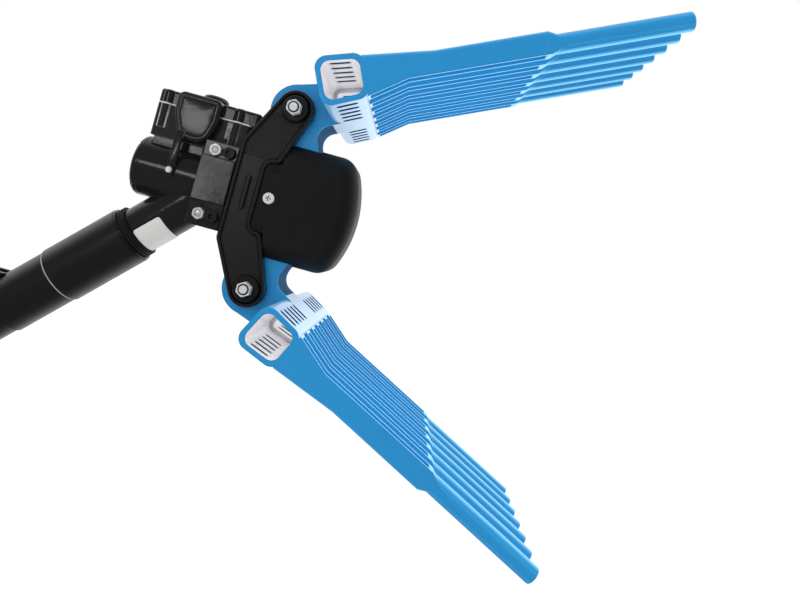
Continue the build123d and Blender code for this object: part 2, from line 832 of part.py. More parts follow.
# Cylinder housing: barrel, front flange and 45 degree neck in one casting
with BuildPart() as cylinder_housing:
    with BuildSketch(across_head(barrel_rear)):
        Circle(barrel_radius)
    extrude(amount=flange_rear - barrel_rear)
    with BuildSketch(head_side()):
        with Locations(((flange_rear + flange_front) / 2, (flange_top + flange_bottom) / 2)):
            Rectangle(flange_front - flange_rear, flange_top - flange_bottom)
    extrude(amount=plate_inner - seat_gap, both=True)
    with BuildSketch(across_pole(0)):
        Circle(neck_radius)
    extrude(amount=neck_end)
    with BuildSketch(across_pole(neck_end)):
        Circle(spigot_radius)
    extrude(amount=spigot_end - neck_end)
    with BuildSketch(head_level(0)):
        with Locations(((barrel_rear + flange_rear) / 2, 0)):
            Rectangle(flange_rear - barrel_rear - 2 * cap_round, 2 * pad_half)
    extrude(amount=pad_top)
    with BuildSketch(head_side(-strap_inner)):
        with Locations((strap_place, strap_screw)):
            Circle(strap_width / 2)
    extrude(amount=-(strap_inner - bore_radius))
    with BuildSketch(across_head(barrel_rear)):
        Circle(bore_radius)
    extrude(amount=bore_front - barrel_rear, mode=Mode.SUBTRACT)
    with BuildSketch(across_head(flange_front)):
        Circle(guide_radius + seat_gap)
    extrude(amount=-guide_length, mode=Mode.SUBTRACT)
    with BuildSketch(across_head(bore_front)):
        Circle(rod_radius + free_gap)
    extrude(amount=flange_front - bore_front, mode=Mode.SUBTRACT)
    with BuildSketch(across_pole(passage_end)):
        Circle(passage_radius)
    extrude(amount=spigot_end - passage_end, mode=Mode.SUBTRACT)
    with BuildSketch(head_side()):
        with Locations((hex_place, flange_hole_height), (hex_place, -flange_hole_height)):
            Circle(m5_radius + bolt_gap)
        with Locations((screw_place, flange_hole_height), (screw_place, -flange_hole_height)):
            Circle(m5_radius + seat_gap)
    extrude(amount=plate_inner, both=True, mode=Mode.SUBTRACT)
    with BuildSketch(head_level(0)):
        with Locations((port_rear, 0), (port_front, 0)):
            Circle(port_radius)
    extrude(amount=pad_top, mode=Mode.SUBTRACT)
    with BuildSketch(head_side(-strap_inner)):
        with Locations((strap_place, strap_screw)):
            Circle(strap_screw_radius + seat_gap)
    extrude(amount=-strap_screw_length, mode=Mode.SUBTRACT)
    with BuildSketch(across_head(barrel_rear)):
        with PolarLocations(cap_screw_circle, 4, start_angle=45):
            Circle(cap_screw_radius + seat_gap)
    extrude(amount=cap_screw_length, mode=Mode.SUBTRACT)
finish(cylinder_housing, "cylinder_housing")

# Rear cap of the barrel, with its seal ring and four sunk screws
with BuildPart() as rear_cap:
    with BuildSketch(across_head(barrel_rear - seat_gap)):
        Circle(barrel_radius)
    extrude(amount=-cap_thickness)
    fillet(rear_cap.edges().group_by(Axis.X)[0], cap_round)
    with BuildSketch(across_head(barrel_rear - seat_gap)):
        Circle(bore_radius - seat_gap)
    extrude(amount=cap_spigot)
    with BuildSketch(across_head(barrel_rear + ring_section / 2)):
        Circle(bore_radius)
        Circle(bore_radius - ring_section, mode=Mode.SUBTRACT)
    extrude(amount=ring_section, mode=Mode.SUBTRACT)
    with BuildSketch(across_head(barrel_rear)):
        with PolarLocations(cap_screw_circle, 4, start_angle=45):
            Circle(cap_screw_radius + bolt_gap)
    extrude(amount=-2 * cap_thickness, mode=Mode.SUBTRACT)
    with BuildSketch(across_head(barrel_rear - cap_thickness + cap_screw_sink)):
        with PolarLocations(cap_screw_circle, 4, start_angle=45):
            Circle(cap_screw_head + bolt_gap)
    extrude(amount=-2 * cap_thickness, mode=Mode.SUBTRACT)
finish(rear_cap, "rear_cap")

with BuildPart() as rear_cap_seal:
    with BuildSketch(across_head(barrel_rear + ring_section / 2 + seat_gap)):
        Circle(bore_radius - seat_gap)
        Circle(bore_radius - ring_section + seat_gap, mode=Mode.SUBTRACT)
    extrude(amount=ring_section - 2 * seat_gap)
finish(rear_cap_seal, "rear_cap_seal")

with BuildPart() as rear_cap_screws:
    cap_screw_seat = barrel_rear - cap_thickness + cap_screw_sink - seat_gap
    with BuildSketch(across_head(cap_screw_seat)):
        with PolarLocations(cap_screw_circle, 4, start_angle=45):
            Circle(cap_screw_head)
    extrude(amount=-cap_screw_head_height)
    with BuildSketch(across_head(cap_screw_seat)):
        with PolarLocations(cap_screw_circle, 4, start_angle=45):
            Circle(cap_screw_radius)
    extrude(amount=cap_screw_length)
    with BuildSketch(across_head(cap_screw_seat - cap_screw_head_height)):
        with PolarLocations(cap_screw_circle, 4, start_angle=45):
            RegularPolygon(cap_screw_radius, 6, major_radius=False)
    extrude(amount=cap_screw_head_height / 2, mode=Mode.SUBTRACT)
finish(rear_cap_screws, "rear_cap_screws")

# Piston with two seal grooves and a sink for its nut
seal_places = (piston_front - piston_length / 4, piston_front - piston_length * 3 / 4)
nut_sink = piston_nut_height + free_gap
with BuildPart() as piston:
    with BuildSketch(across_head(piston_front)):
        Circle(piston_radius)
        Circle(rod_spigot_radius + seat_gap, mode=Mode.SUBTRACT)
    extrude(amount=-piston_length)
    for place in seal_places:
        with BuildSketch(across_head(place - seal_width / 2)):
            Circle(bore_radius)
            Circle(bore_radius - seal_depth, mode=Mode.SUBTRACT)
        extrude(amount=seal_width, mode=Mode.SUBTRACT)
    with BuildSketch(across_head(piston_front - piston_length)):
        Circle(piston_nut_flats / sqrt(3) + free_gap)
    extrude(amount=nut_sink, mode=Mode.SUBTRACT)
finish(piston, "piston")

with BuildPart() as piston_seals:
    for place in seal_places:
        with BuildSketch(across_head(place - seal_width / 2 + seat_gap)):
            Circle(bore_radius - seat_gap)
            Circle(bore_radius - seal_depth + seat_gap, mode=Mode.SUBTRACT)
        extrude(amount=seal_width - 2 * seat_gap)
finish(piston_seals, "piston_seals")

with BuildPart() as piston_nut:
    with BuildSketch(across_head(piston_front - piston_length + nut_sink - seat_gap)):
        RegularPolygon(piston_nut_flats / 2, 6, major_radius=False)
        Circle(rod_spigot_radius + seat_gap, mode=Mode.SUBTRACT)
    extrude(amount=-piston_nut_height)
finish(piston_nut, "piston_nut")

crosshead_rear = pin_open - crosshead_length / 2
with BuildPart() as piston_rod:
    with BuildSketch(across_head(piston_front + seat_gap)):
        Circle(rod_radius)
    extrude(amount=crosshead_rear - piston_front - 2 * seat_gap)
    with BuildSketch(across_head(piston_front - piston_length + free_gap)):
        Circle(rod_spigot_radius)
    extrude(amount=crosshead_rear + crosshead_length - 2 * free_gap - piston_front + piston_length)
    with BuildSketch(head_side()):
        with Locations((crosshead_rear + rod_pin_place, 0)):
            Circle(rod_pin_radius + seat_gap)
    extrude(amount=rod_radius, both=True, mode=Mode.SUBTRACT)
finish(piston_rod, "piston_rod")

with BuildPart() as rod_guide:
    with BuildSketch(across_head(flange_front)):
        Circle(guide_radius)
        Circle(rod_radius + running_gap, mode=Mode.SUBTRACT)
    extrude(amount=-guide_length + seat_gap)
    with BuildSketch(across_head(flange_front - rod_seal_length / 2)):
        Circle(rod_seal_radius)
    extrude(amount=-rod_seal_length, mode=Mode.SUBTRACT)
finish(rod_guide, "rod_guide")

with BuildPart() as rod_seal:
    with BuildSketch(across_head(flange_front - rod_seal_length / 2 - seat_gap)):
        Circle(rod_seal_radius - seat_gap)
        Circle(rod_radius + running_gap, mode=Mode.SUBTRACT)
    extrude(amount=-rod_seal_length + 2 * seat_gap)
finish(rod_seal, "rod_seal")

# Crosshead on the rod, with two cross pins that work in the slots of the combs
with BuildPart() as crosshead:
    with BuildSketch(head_side()):
        with Locations((pin_open, 0)):
            RectangleRounded(crosshead_length, 2 * crosshead_half, crosshead_corner)
        with Locations((pin_open, pin_half), (pin_open, -pin_half)):
            Circle(pin_radius + seat_gap, mode=Mode.SUBTRACT)
        with Locations((crosshead_rear + rod_pin_place, 0)):
            Circle(rod_pin_radius + seat_gap, mode=Mode.SUBTRACT)
    extrude(amount=crosshead_thickness / 2, both=True)
    with BuildSketch(across_head(crosshead_rear)):
        Circle(rod_spigot_radius + seat_gap)
    extrude(amount=crosshead_length, mode=Mode.SUBTRACT)
finish(crosshead, "crosshead")

with BuildPart() as rod_pin:
    with BuildSketch(head_side()):
        with Locations((crosshead_rear + rod_pin_place, 0)):
            Circle(rod_pin_radius)
    extrude(amount=crosshead_thickness / 2 - seat_gap, both=True)
finish(rod_pin, "rod_pin")

with BuildPart() as drive_pins:
    with BuildSketch(head_side()):
        with Locations((pin_open, pin_half), (pin_open, -pin_half)):
            Circle(pin_radius)
    extrude(amount=pin_reach + clip_thickness, both=True)
    for side in (-1, 1):
        with BuildSketch(head_side(side * (pin_reach - clip_thickness))):
            with Locations((pin_open, pin_half), (pin_open, -pin_half)):
                Circle(clip_radius)
                Circle(pin_radius - clip_thickness, mode=Mode.SUBTRACT)
        extrude(amount=-side * clip_thickness, mode=Mode.SUBTRACT)
finish(drive_pins, "drive_pins")

with BuildPart() as pin_clips:
    for side in (-1, 1):
        with BuildSketch(head_side(side * (pin_reach - clip_thickness + seat_gap))):
            with Locations((pin_open, pin_half), (pin_open, -pin_half)):
                Circle(clip_radius)
                Circle(pin_radius - clip_thickness + seat_gap, mode=Mode.SUBTRACT)
        extrude(amount=-side * (clip_thickness - 2 * seat_gap))
finish(pin_clips, "pin_clips")

# Reversing valve on the barrel: body, gasket, lid, spool and end plugs
posts = [(place, side * post_side) for place in (post_rear, post_front) for side in (-1, 1)]
with BuildPart() as valve_body:
    valve_low = pad_top + seat_gap
    with BuildSketch(head_side()):
        with BuildLine():
            Polyline(
                (valve_rear, valve_low),
                (flange_rear - free_gap, valve_low),
                (flange_rear - free_gap, flange_top + free_gap),
                (valve_front, flange_top + free_gap),
                (valve_front, valve_top),
                (valve_rear, valve_top),
                close=True,
            )
        make_face()
    extrude(amount=valve_half, both=True)
    fillet(valve_body.edges().filter_by(Axis.Z), valve_round)
    with BuildSketch(head_level(flange_top + free_gap)):
        with Locations(*posts):
            Circle(post_radius)
    extrude(amount=valve_top - flange_top - free_gap)
    with BuildSketch(across_head(valve_rear)):
        with Locations((0, spool_height)):
            Circle(spool_radius)
    extrude(amount=valve_front - valve_rear, mode=Mode.SUBTRACT)
    with BuildSketch(head_side(-valve_half)):
        with Locations((boss_place, boss_level)):
            RectangleRounded(boss_length, boss_height, boss_corner)
    extrude(amount=boss_rise)
    with BuildSketch(head_level(valve_top)):
        with Locations(*posts):
            Circle(lid_screw_radius + seat_gap)
    extrude(amount=-(lid_screw_length - lid_top + valve_top + lid_screw_head_height), mode=Mode.SUBTRACT)
    with BuildSketch(head_level(valve_low)):
        with Locations((port_rear, 0), (port_front, 0)):
            Circle(port_radius)
    extrude(amount=spool_height - valve_low, mode=Mode.SUBTRACT)
    with BuildSketch(head_side(-valve_half)):
        with Locations((silencer_place, spool_height + spool_radius)):
            Circle(exhaust_radius)
    extrude(amount=-valve_half, mode=Mode.SUBTRACT)
finish(valve_body, "valve_body")

with BuildPart() as valve_gasket:
    with BuildSketch(head_level(valve_top + seat_gap)):
        with Locations(((valve_rear + valve_front) / 2, 0)):
            RectangleRounded(valve_front - valve_rear, 2 * valve_half, valve_round)
        with Locations(*posts):
            Circle(post_radius)
        with Locations(*posts):
            Circle(lid_screw_radius + bolt_gap, mode=Mode.SUBTRACT)
    extrude(amount=gasket_thickness - 2 * seat_gap)
finish(valve_gasket, "valve_gasket")

with BuildPart() as valve_lid:
    lid_low = valve_top + gasket_thickness
    with BuildSketch(head_level(lid_low)):
        with Locations(((valve_rear + lid_front) / 2, 0)):
            RectangleRounded(lid_front - valve_rear, 2 * valve_half, valve_round)
        with Locations(*posts):
            Circle(post_radius)
    extrude(amount=lid_top - lid_low)
    fillet(valve_lid.faces().sort_by(Axis.Z)[-1].edges(), lid_round)
    with BuildSketch(head_level(lid_top - lid_round)):
        with Locations((dome_place, 0)):
            Circle(dome_radius)
    extrude(amount=dome_height + lid_round)
    fillet(valve_lid.edges().group_by(Axis.Z)[-1], dome_round)
    with BuildSketch(head_level(lid_low)):
        with Locations(*posts):
            Circle(lid_screw_radius + bolt_gap)
    extrude(amount=lid_top, mode=Mode.SUBTRACT)
    with BuildSketch(head_level(lid_top - lid_screw_head_height)):
        with Locations(*posts):
            Circle(lid_screw_head + bolt_gap)
    extrude(amount=lid_top, mode=Mode.SUBTRACT)
finish(valve_lid, "valve_lid")

with BuildPart() as valve_lid_screws:
    with BuildSketch(head_level(lid_top - lid_screw_head_height + seat_gap)):
        with Locations(*posts):
            Circle(lid_screw_head)
    extrude(amount=lid_screw_head_height)
    with BuildSketch(head_level(lid_top - lid_screw_head_height + seat_gap)):
        with Locations(*posts):
            Circle(lid_screw_radius)
    extrude(amount=-lid_screw_length)
    with BuildSketch(head_level(lid_top)):
        with Locations(*posts):
            RegularPolygon(lid_screw_radius, 6, major_radius=False)
    extrude(amount=lid_screw_head_height / 2, both=True, mode=Mode.SUBTRACT)
finish(valve_lid_screws, "valve_lid_screws")

spool_rear = valve_rear + spool_plug_length + free_gap
spool_length = valve_front - valve_rear - 2 * spool_plug_length - spool_travel - 2 * free_gap
land_step = (spool_length - spool_land) / (spool_lands - 1)
land_places = [spool_rear + row * land_step for row in range(spool_lands)]
ring_width = spool_land / 2
with BuildPart() as valve_spool:
    with BuildSketch(across_head(spool_rear)):
        with Locations((0, spool_height)):
            Circle(spool_radius - 2 * spool_groove)
    extrude(amount=spool_length)
    for place in land_places:
        with BuildSketch(across_head(place)):
            with Locations((0, spool_height)):
                Circle(spool_radius - running_gap)
        extrude(amount=spool_land)
        with BuildSketch(across_head(place + (spool_land - ring_width) / 2)):
            with Locations((0, spool_height)):
                Circle(spool_radius)
                Circle(spool_radius - spool_groove, mode=Mode.SUBTRACT)
        extrude(amount=ring_width, mode=Mode.SUBTRACT)
finish(valve_spool, "valve_spool")

with BuildPart() as spool_seals:
    for place in land_places:
        with BuildSketch(across_head(place + (spool_land - ring_width) / 2 + seat_gap)):
            with Locations((0, spool_height)):
                Circle(spool_radius - seat_gap)
                Circle(spool_radius - spool_groove + seat_gap, mode=Mode.SUBTRACT)
        extrude(amount=ring_width - 2 * seat_gap)
finish(spool_seals, "spool_seals")

with BuildPart() as spool_plugs:
    for place in (valve_rear, valve_front - spool_plug_length):
        with BuildSketch(across_head(place)):
            with Locations((0, spool_height)):
                Circle(spool_radius - seat_gap)
        extrude(amount=spool_plug_length)
finish(spool_plugs, "spool_plugs")

# Exhaust cover: shield with a sunk panel, and a strap down to a screw on the barrel
with BuildPart() as exhaust_cover:
    shield = [
        (cover_rear, cover_top),
        (cover_front, cover_top),
        (cover_front, cover_side),
        (cover_tip + cover_foot / 2, cover_bottom),
        (cover_tip - cover_foot / 2, cover_bottom),
        (cover_rear, cover_side),
    ]
    with BuildSketch(head_side(-valve_half - seat_gap)):
        with BuildLine():
            Polyline(*shield, close=True)
        make_face()
        fillet(vertices().group_by(Axis.Y)[1], cover_side_round)
        fillet(vertices().group_by(Axis.Y)[0], cover_tip_round)
        fillet(vertices().group_by(Axis.Y)[-1], cover_top_round)
    extrude(amount=cover_face - valve_half - seat_gap)
    shield_face = exhaust_cover.faces().sort_by(Axis.Y)[0]
    fillet(shield_face.edges(), cover_sink)
    with BuildSketch(head_side(-cover_face)):
        with BuildLine():
            Polyline((cover_rear, cover_band), (cover_front, cover_band), *shield[2:], close=True)
        make_face()
        fillet(vertices().group_by(Axis.Y)[1], cover_side_round)
        fillet(vertices().group_by(Axis.Y)[0], cover_tip_round)
        offset(amount=-cover_rim, mode=Mode.REPLACE)
    extrude(amount=-cover_sink, mode=Mode.SUBTRACT)
    with BuildSketch(head_side(-strap_inner - seat_gap)):
        with Locations((strap_place, (strap_low + cover_side) / 2)):
            Rectangle(strap_width, cover_side - strap_low)
        with Locations((strap_place, strap_screw)):
            Circle(strap_screw_radius + bolt_gap, mode=Mode.SUBTRACT)
    extrude(amount=strap_thickness)
    fillet(exhaust_cover.edges().filter_by(Axis.Y).group_by(Axis.Z)[0], strap_width / 3)
    with BuildSketch(head_side(-valve_half)):
        with Locations((silencer_place, silencer_level)):
            Rectangle(silencer_width + 2 * seat_gap, silencer_height + 2 * seat_gap)
    extrude(amount=silencer_depth + 2 * seat_gap, mode=Mode.SUBTRACT)
finish(exhaust_cover, "exhaust_cover")

with BuildPart() as exhaust_silencer:
    with BuildSketch(head_side(-valve_half - seat_gap)):
        with Locations((silencer_place, silencer_level)):
            Rectangle(silencer_width, silencer_height)
    extrude(amount=silencer_depth - seat_gap)
finish(exhaust_silencer, "exhaust_silencer")

with BuildPart() as cover_screw:
    strap_face = strap_outer + 2 * seat_gap
    with BuildSketch(head_side(-strap_face)):
        with Locations((strap_place, strap_screw)):
            Circle(strap_screw_head)
    extrude(amount=strap_screw_head_height)
    fillet(cover_screw.edges().group_by(Axis.Y)[0], strap_screw_head_height / 3)
    with BuildSketch(head_side(-strap_face)):
        with Locations((strap_place, strap_screw)):
            Circle(strap_screw_radius)
    extrude(amount=-(strap_face - strap_inner + strap_screw_length - free_gap))
finish(cover_screw, "cover_screw")

# Bare plate curved round the near lower side of the neck
with BuildPart() as label_plate:
    with BuildSketch(across_pole(label_from)):
        with BuildLine():
            label_inner = neck_radius + seat_gap
            label_outer = label_inner + label_thickness
            CenterArc((0, 0), label_inner, label_start, label_sweep)
            CenterArc((0, 0), label_outer, label_start, label_sweep)
            for turn in (label_start, label_start + label_sweep):
                across = Vector(cos(radians(turn)), sin(radians(turn)))
                Line(across * label_inner, across * label_outer)
        make_face()
    extrude(amount=label_length)
    label_edges = label_plate.edges().sort_by(SortBy.LENGTH)[:4]
    fillet(label_edges, label_corner)
finish(label_plate, "label_plate")

# Ringed dust seal and steel ring in front of the union nut
with BuildPart() as neck_seal:
    with BuildSketch(across_pole(neck_end + seat_gap)):
        Circle(seal_band_radius)
        Circle(spigot_radius + seat_gap, mode=Mode.SUBTRACT)
    extrude(amount=seal_band_end - neck_end - seat_gap)
    ridge_pitch = (seal_band_end - neck_end) / seal_band_ridges
    for row in range(seal_band_ridges):
        with BuildSketch(across_pole(neck_end + row * ridge_pitch + (ridge_pitch - seal_band_slot) / 2)):
            Circle(seal_band_radius)
            Circle(seal_band_radius - seal_band_groove, mode=Mode.SUBTRACT)
        extrude(amount=seal_band_slot, mode=Mode.SUBTRACT)
finish(neck_seal, "neck_seal")

with BuildPart() as retaining_ring:
    with BuildSketch(across_pole(seal_band_end + seat_gap)):
        Circle(ring_radius)
        Circle(spigot_radius + seat_gap, mode=Mode.SUBTRACT)
    extrude(amount=ring_thickness)
    rings = retaining_ring.edges().filter_by(GeomType.CIRCLE)
    rims = rings.filter_by(lambda edge: edge.radius > spigot_radius + cut_over)
    fillet(rims, ring_thickness / 3)
finish(retaining_ring, "retaining_ring")

with BuildPart() as union_nut:
    with BuildSketch(across_pole(union_from)):
        Circle(union_radius)
    extrude(amount=union_length)
    fillet(union_nut.edges(), union_round)
    with BuildSketch(across_pole(union_from + union_lip)):
        Circle(union_bore)
    extrude(amount=union_length, mode=Mode.SUBTRACT)
    with BuildSketch(across_pole(union_from)):
        Circle(spigot_radius + bolt_gap)
    extrude(amount=union_length, mode=Mode.SUBTRACT)
finish(union_nut, "union_nut")

with BuildPart() as union_washer:
    with BuildSketch(across_pole(union_to + seat_gap)):
        Circle(union_washer_radius)
        Circle(union_bore + seat_gap, mode=Mode.SUBTRACT)
    extrude(amount=union_washer_thickness)
finish(union_washer, "union_washer")

# Handle body: threaded front in the union nut, socket for the grip tube, two lugs for the lever
with BuildPart() as handle_body:
    with BuildSketch(across_pole(spigot_end + seat_gap)):
        Circle(union_bore - seat_gap)
    extrude(amount=body_from - spigot_end - seat_gap)
    with BuildSketch(across_pole(body_from)):
        Circle(body_radius)
    extrude(amount=body_length)
    rings = handle_body.edges().filter_by(GeomType.CIRCLE)
    fillet(rings.filter_by(lambda edge: edge.radius > union_bore), union_round)
    for side in (-1, 1):
        lug_inner = hub_width / 2 + free_gap
        with BuildSketch(pole_side(side * lug_inner)):
            with BuildLine():
                slope = lug_radius / sqrt(2)
                Polyline(
                    (lug_foot, grip_radius),
                    (lug_place - slope, lug_height + slope),
                    (lug_place, lug_height),
                    (lug_place + lug_radius, lug_height),
                    (lug_place + lug_radius, grip_radius),
                    close=True,
                )
            make_face()
            with Locations((lug_place, lug_height)):
                Circle(lug_radius)
        extrude(amount=side * lug_thickness)
    with BuildSketch(pole_side()):
        with Locations((lug_place, lug_height)):
            Circle(lever_pin_radius + seat_gap)
    extrude(amount=body_radius, both=True, mode=Mode.SUBTRACT)
    with BuildSketch(across_pole(spigot_end)):
        Circle(body_bore)
    extrude(amount=body_to - spigot_end, mode=Mode.SUBTRACT)
    with BuildSketch(across_pole(grip_from)):
        Circle(grip_radius + seat_gap)
    extrude(amount=grip_socket + lug_radius, mode=Mode.SUBTRACT)
finish(handle_body, "handle_body")

with BuildPart() as grip_tube:
    with BuildSketch(across_pole(grip_from + seat_gap)):
        Circle(grip_radius)
        Circle(grip_bore, mode=Mode.SUBTRACT)
    extrude(amount=pole_length - grip_from - seat_gap)
    with BuildSketch(across_pole(pole_length - pole_seat_length)):
        Circle(grip_radius)
        Circle(pole_seat_radius, mode=Mode.SUBTRACT)
    extrude(amount=pole_seat_length, mode=Mode.SUBTRACT)
    with BuildSketch(over_pole(plunger_place, 0)):
        Circle(plunger_radius + free_gap)
    extrude(amount=2 * grip_radius, mode=Mode.SUBTRACT)
finish(grip_tube, "grip_tube")

# Hand valve: cartridge in the grip, plunger with its seal and spring, lever on its pin
with BuildPart() as valve_cartridge:
    with BuildSketch(across_pole(cartridge_from)):
        Circle(grip_bore - seat_gap)
        Circle(cartridge_passage, mode=Mode.SUBTRACT)
    extrude(amount=cartridge_length)
    with BuildSketch(over_pole(plunger_place, spring_floor)):
        Circle(plunger_radius + running_gap)
    extrude(amount=2 * grip_bore, mode=Mode.SUBTRACT)
    with BuildSketch(over_pole(plunger_place, plunger_seal_place)):
        Circle(plunger_seal_radius)
    extrude(amount=plunger_seal_length, mode=Mode.SUBTRACT)
finish(valve_cartridge, "valve_cartridge")

with BuildPart() as plunger:
    with BuildSketch(over_pole(plunger_place, plunger_foot)):
        Circle(plunger_radius)
    extrude(amount=plunger_top - plunger_foot)
    fillet(plunger.edges().filter_by(GeomType.CIRCLE).sort_by(Axis.Z)[-1], plunger_radius / 2)
finish(plunger, "plunger")

with BuildPart() as plunger_seal:
    with BuildSketch(over_pole(plunger_place, plunger_seal_place + seat_gap)):
        Circle(plunger_seal_radius - seat_gap)
        Circle(plunger_radius + running_gap, mode=Mode.SUBTRACT)
    extrude(amount=plunger_seal_length - 2 * seat_gap)
finish(plunger_seal, "plunger_seal")

with BuildPart() as plunger_spring:
    coil_radius = plunger_radius - spring_wire
    coil_height = plunger_foot - spring_floor - spring_wire - 2 * seat_gap
    coil_base = over_pole(plunger_place, spring_floor + spring_wire / 2 + seat_gap)
    with BuildLine() as coil:
        Helix(coil_height / spring_turns, coil_height, coil_radius, coil_base.origin, coil_base.z_dir)
    with BuildSketch(Plane(origin=coil.line @ 0, z_dir=coil.line % 0)):
        Circle(spring_wire / 2)
    sweep(path=coil.line, is_frenet=True)
finish(plunger_spring, "plunger_spring")

with BuildPart() as hand_lever:
    under = plunger_top + free_gap
    knee = plunger_place + plunger_radius
    bend = knee + 2 * plunger_radius
    with BuildSketch(pole_side()):
        with Locations((lug_place, lug_height)):
            Circle(lug_radius)
        with BuildLine():
            Polyline(
                (lug_place, under),
                (knee, under),
                (bend, hand_lever_lift - hand_lever_thickness),
                (bend + hand_lever_thickness, hand_lever_lift - hand_lever_thickness),
                (bend + hand_lever_thickness, hand_lever_lift),
                (bend - hand_lever_thickness / 2, hand_lever_lift),
                (knee - hand_lever_thickness / 2, under + hand_lever_thickness),
                (lug_place, under + hand_lever_thickness),
                close=True,
            )
        make_face()
    extrude(amount=hub_width / 2, both=True)
    with BuildSketch(over_pole((bend + hand_lever_end) / 2, hand_lever_lift)):
        RectangleRounded(hand_lever_width, hand_lever_end - bend, hand_lever_width / 3)
    extrude(amount=-hand_lever_thickness)
    with BuildSketch(pole_side()):
        with Locations((lug_place, lug_height)):
            Circle(lever_pin_radius + running_gap)
    extrude(amount=hub_width, both=True, mode=Mode.SUBTRACT)
finish(hand_lever, "hand_lever")

with BuildPart() as lever_pin:
    with BuildSketch(pole_side()):
        with Locations((lug_place, lug_height)):
            Circle(lever_pin_radius)
    extrude(amount=hub_width / 2 + free_gap + lug_thickness, both=True)
finish(lever_pin, "lever_pin")

# Inlet plug at the rear end of the grip, with its seal
with BuildPart() as inlet_plug:
    with BuildSketch(across_pole(pole_length - plug_length)):
        Circle(grip_bore - seat_gap)
    extrude(amount=plug_length + seat_gap)
    with BuildSketch(across_pole(pole_length + seat_gap)):
        Circle(plug_flange_radius)
    extrude(amount=plug_flange)
    with BuildSketch(across_pole(pole_length - inlet_seal_place)):
        Circle(grip_bore)
        Circle(grip_bore - ring_section, mode=Mode.SUBTRACT)
    extrude(amount=ring_section, mode=Mode.SUBTRACT)
    with BuildSketch(across_pole(pole_length - plug_length)):
        Circle(passage_radius)
    extrude(amount=plug_length, mode=Mode.SUBTRACT)
    with BuildSketch(across_pole(pole_length + plug_flange + seat_gap)):
        Circle(inlet_radius)
    extrude(amount=-inlet_depth, mode=Mode.SUBTRACT)
finish(inlet_plug, "inlet_plug")

with BuildPart() as inlet_seal:
    with BuildSketch(across_pole(pole_length - inlet_seal_place + seat_gap)):
        Circle(grip_bore - seat_gap)
        Circle(grip_bore - ring_section + seat_gap, mode=Mode.SUBTRACT)
    extrude(amount=ring_section - 2 * seat_gap)
finish(inlet_seal, "inlet_seal")
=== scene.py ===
from math import cos, radians, sin, sqrt, tan

import bmesh
import bpy
from bpy.props import FloatProperty, FloatVectorProperty, PointerProperty
from mathutils import Matrix, Vector


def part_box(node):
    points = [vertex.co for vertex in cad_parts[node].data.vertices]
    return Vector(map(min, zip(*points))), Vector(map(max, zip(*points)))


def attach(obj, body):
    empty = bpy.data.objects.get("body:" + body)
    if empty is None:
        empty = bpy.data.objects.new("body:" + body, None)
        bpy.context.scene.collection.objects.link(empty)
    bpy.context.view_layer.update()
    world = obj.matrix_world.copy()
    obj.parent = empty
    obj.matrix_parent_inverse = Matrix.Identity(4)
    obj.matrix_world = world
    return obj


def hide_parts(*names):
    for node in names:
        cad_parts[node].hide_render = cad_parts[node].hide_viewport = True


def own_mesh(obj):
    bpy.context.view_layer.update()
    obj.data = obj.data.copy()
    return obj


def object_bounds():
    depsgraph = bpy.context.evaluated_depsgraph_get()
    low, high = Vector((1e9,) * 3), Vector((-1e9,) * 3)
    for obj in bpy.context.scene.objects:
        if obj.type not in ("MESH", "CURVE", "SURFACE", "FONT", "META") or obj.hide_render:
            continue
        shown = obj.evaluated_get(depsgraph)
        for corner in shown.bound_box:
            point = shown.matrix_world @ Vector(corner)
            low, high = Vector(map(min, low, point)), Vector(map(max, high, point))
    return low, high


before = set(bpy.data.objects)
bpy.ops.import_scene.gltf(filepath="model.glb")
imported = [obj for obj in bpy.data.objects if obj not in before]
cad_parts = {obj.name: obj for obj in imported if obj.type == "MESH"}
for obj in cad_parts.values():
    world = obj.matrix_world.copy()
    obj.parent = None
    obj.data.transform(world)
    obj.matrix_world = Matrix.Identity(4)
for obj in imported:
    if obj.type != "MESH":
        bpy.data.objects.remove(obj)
cad_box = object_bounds()

bl_info = {
    "name": "Olive harvester finish",
    "version": (1, 0, 0),
    "blender": (4, 5, 0),
    "location": "View3D > Sidebar > Harvester",
    "description": "Dresses the olive harvester head in its plastics, castings and fasteners",
    "category": "Object",
}

# The head's middle lies halfway between the two comb pivots
washer_low, washer_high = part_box("pivot_washers")
head = Vector(((washer_low.x + washer_high.x) / 2, 0, (washer_low.z + washer_high.z) / 2))
washer_radius = (washer_high.x - washer_low.x) / 2
pivot_half = (washer_high.z - washer_low.z) / 2 - washer_radius
bracket_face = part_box("side_plate_far")[1].y
clamp_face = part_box("clamp_plate_far")[1].y
comb_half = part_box("upper_comb")[1].y
pole_turn = radians(45)

# Meshes of the pieces made here
merge_distance = 0.000001
face_tolerance = 0.0001
seat_gap = 0.00001
smooth_angle = radians(38)
corner_angle = radians(60)
round_segments = 32
bore_segments = 24
bore_margin = 1.05
mouth_share = 0.12
corner_margin = 0.97
clip_share = 0.14
shank_share = 0.9
spring_turns = 4
steps_per_turn = 24
wire_segments = 10

# The hood, from the head's middle: place along the head, level, and cut of each corner of its outline
hood_outline = (
    (-0.0865, 0.060, 0.0050), (-0.053, 0.060, 0.0050), (-0.053, 0.043, 0.0010),
    (-0.05805, 0.025, 0.0086), (-0.07955, 0.025, 0.0086), (-0.0865, 0.043, 0.0012),
)
hood_cut_segments = 7
hood_roll = 0.0030
hood_roll_segments = 6
panel_inset = 0.0005
panel_sink = 0.0011
pillow_steps = (
    (0.95, 0.0003), (0.93, 0.00007), (0.90, 0.00006), (0.85, 0.00006), (0.75, 0.00006), (0.5, 0.00004),
)
strap_place = -0.0775
strap_top = 0.031
strap_foot = 0.0024
strap_edge = 0.0007

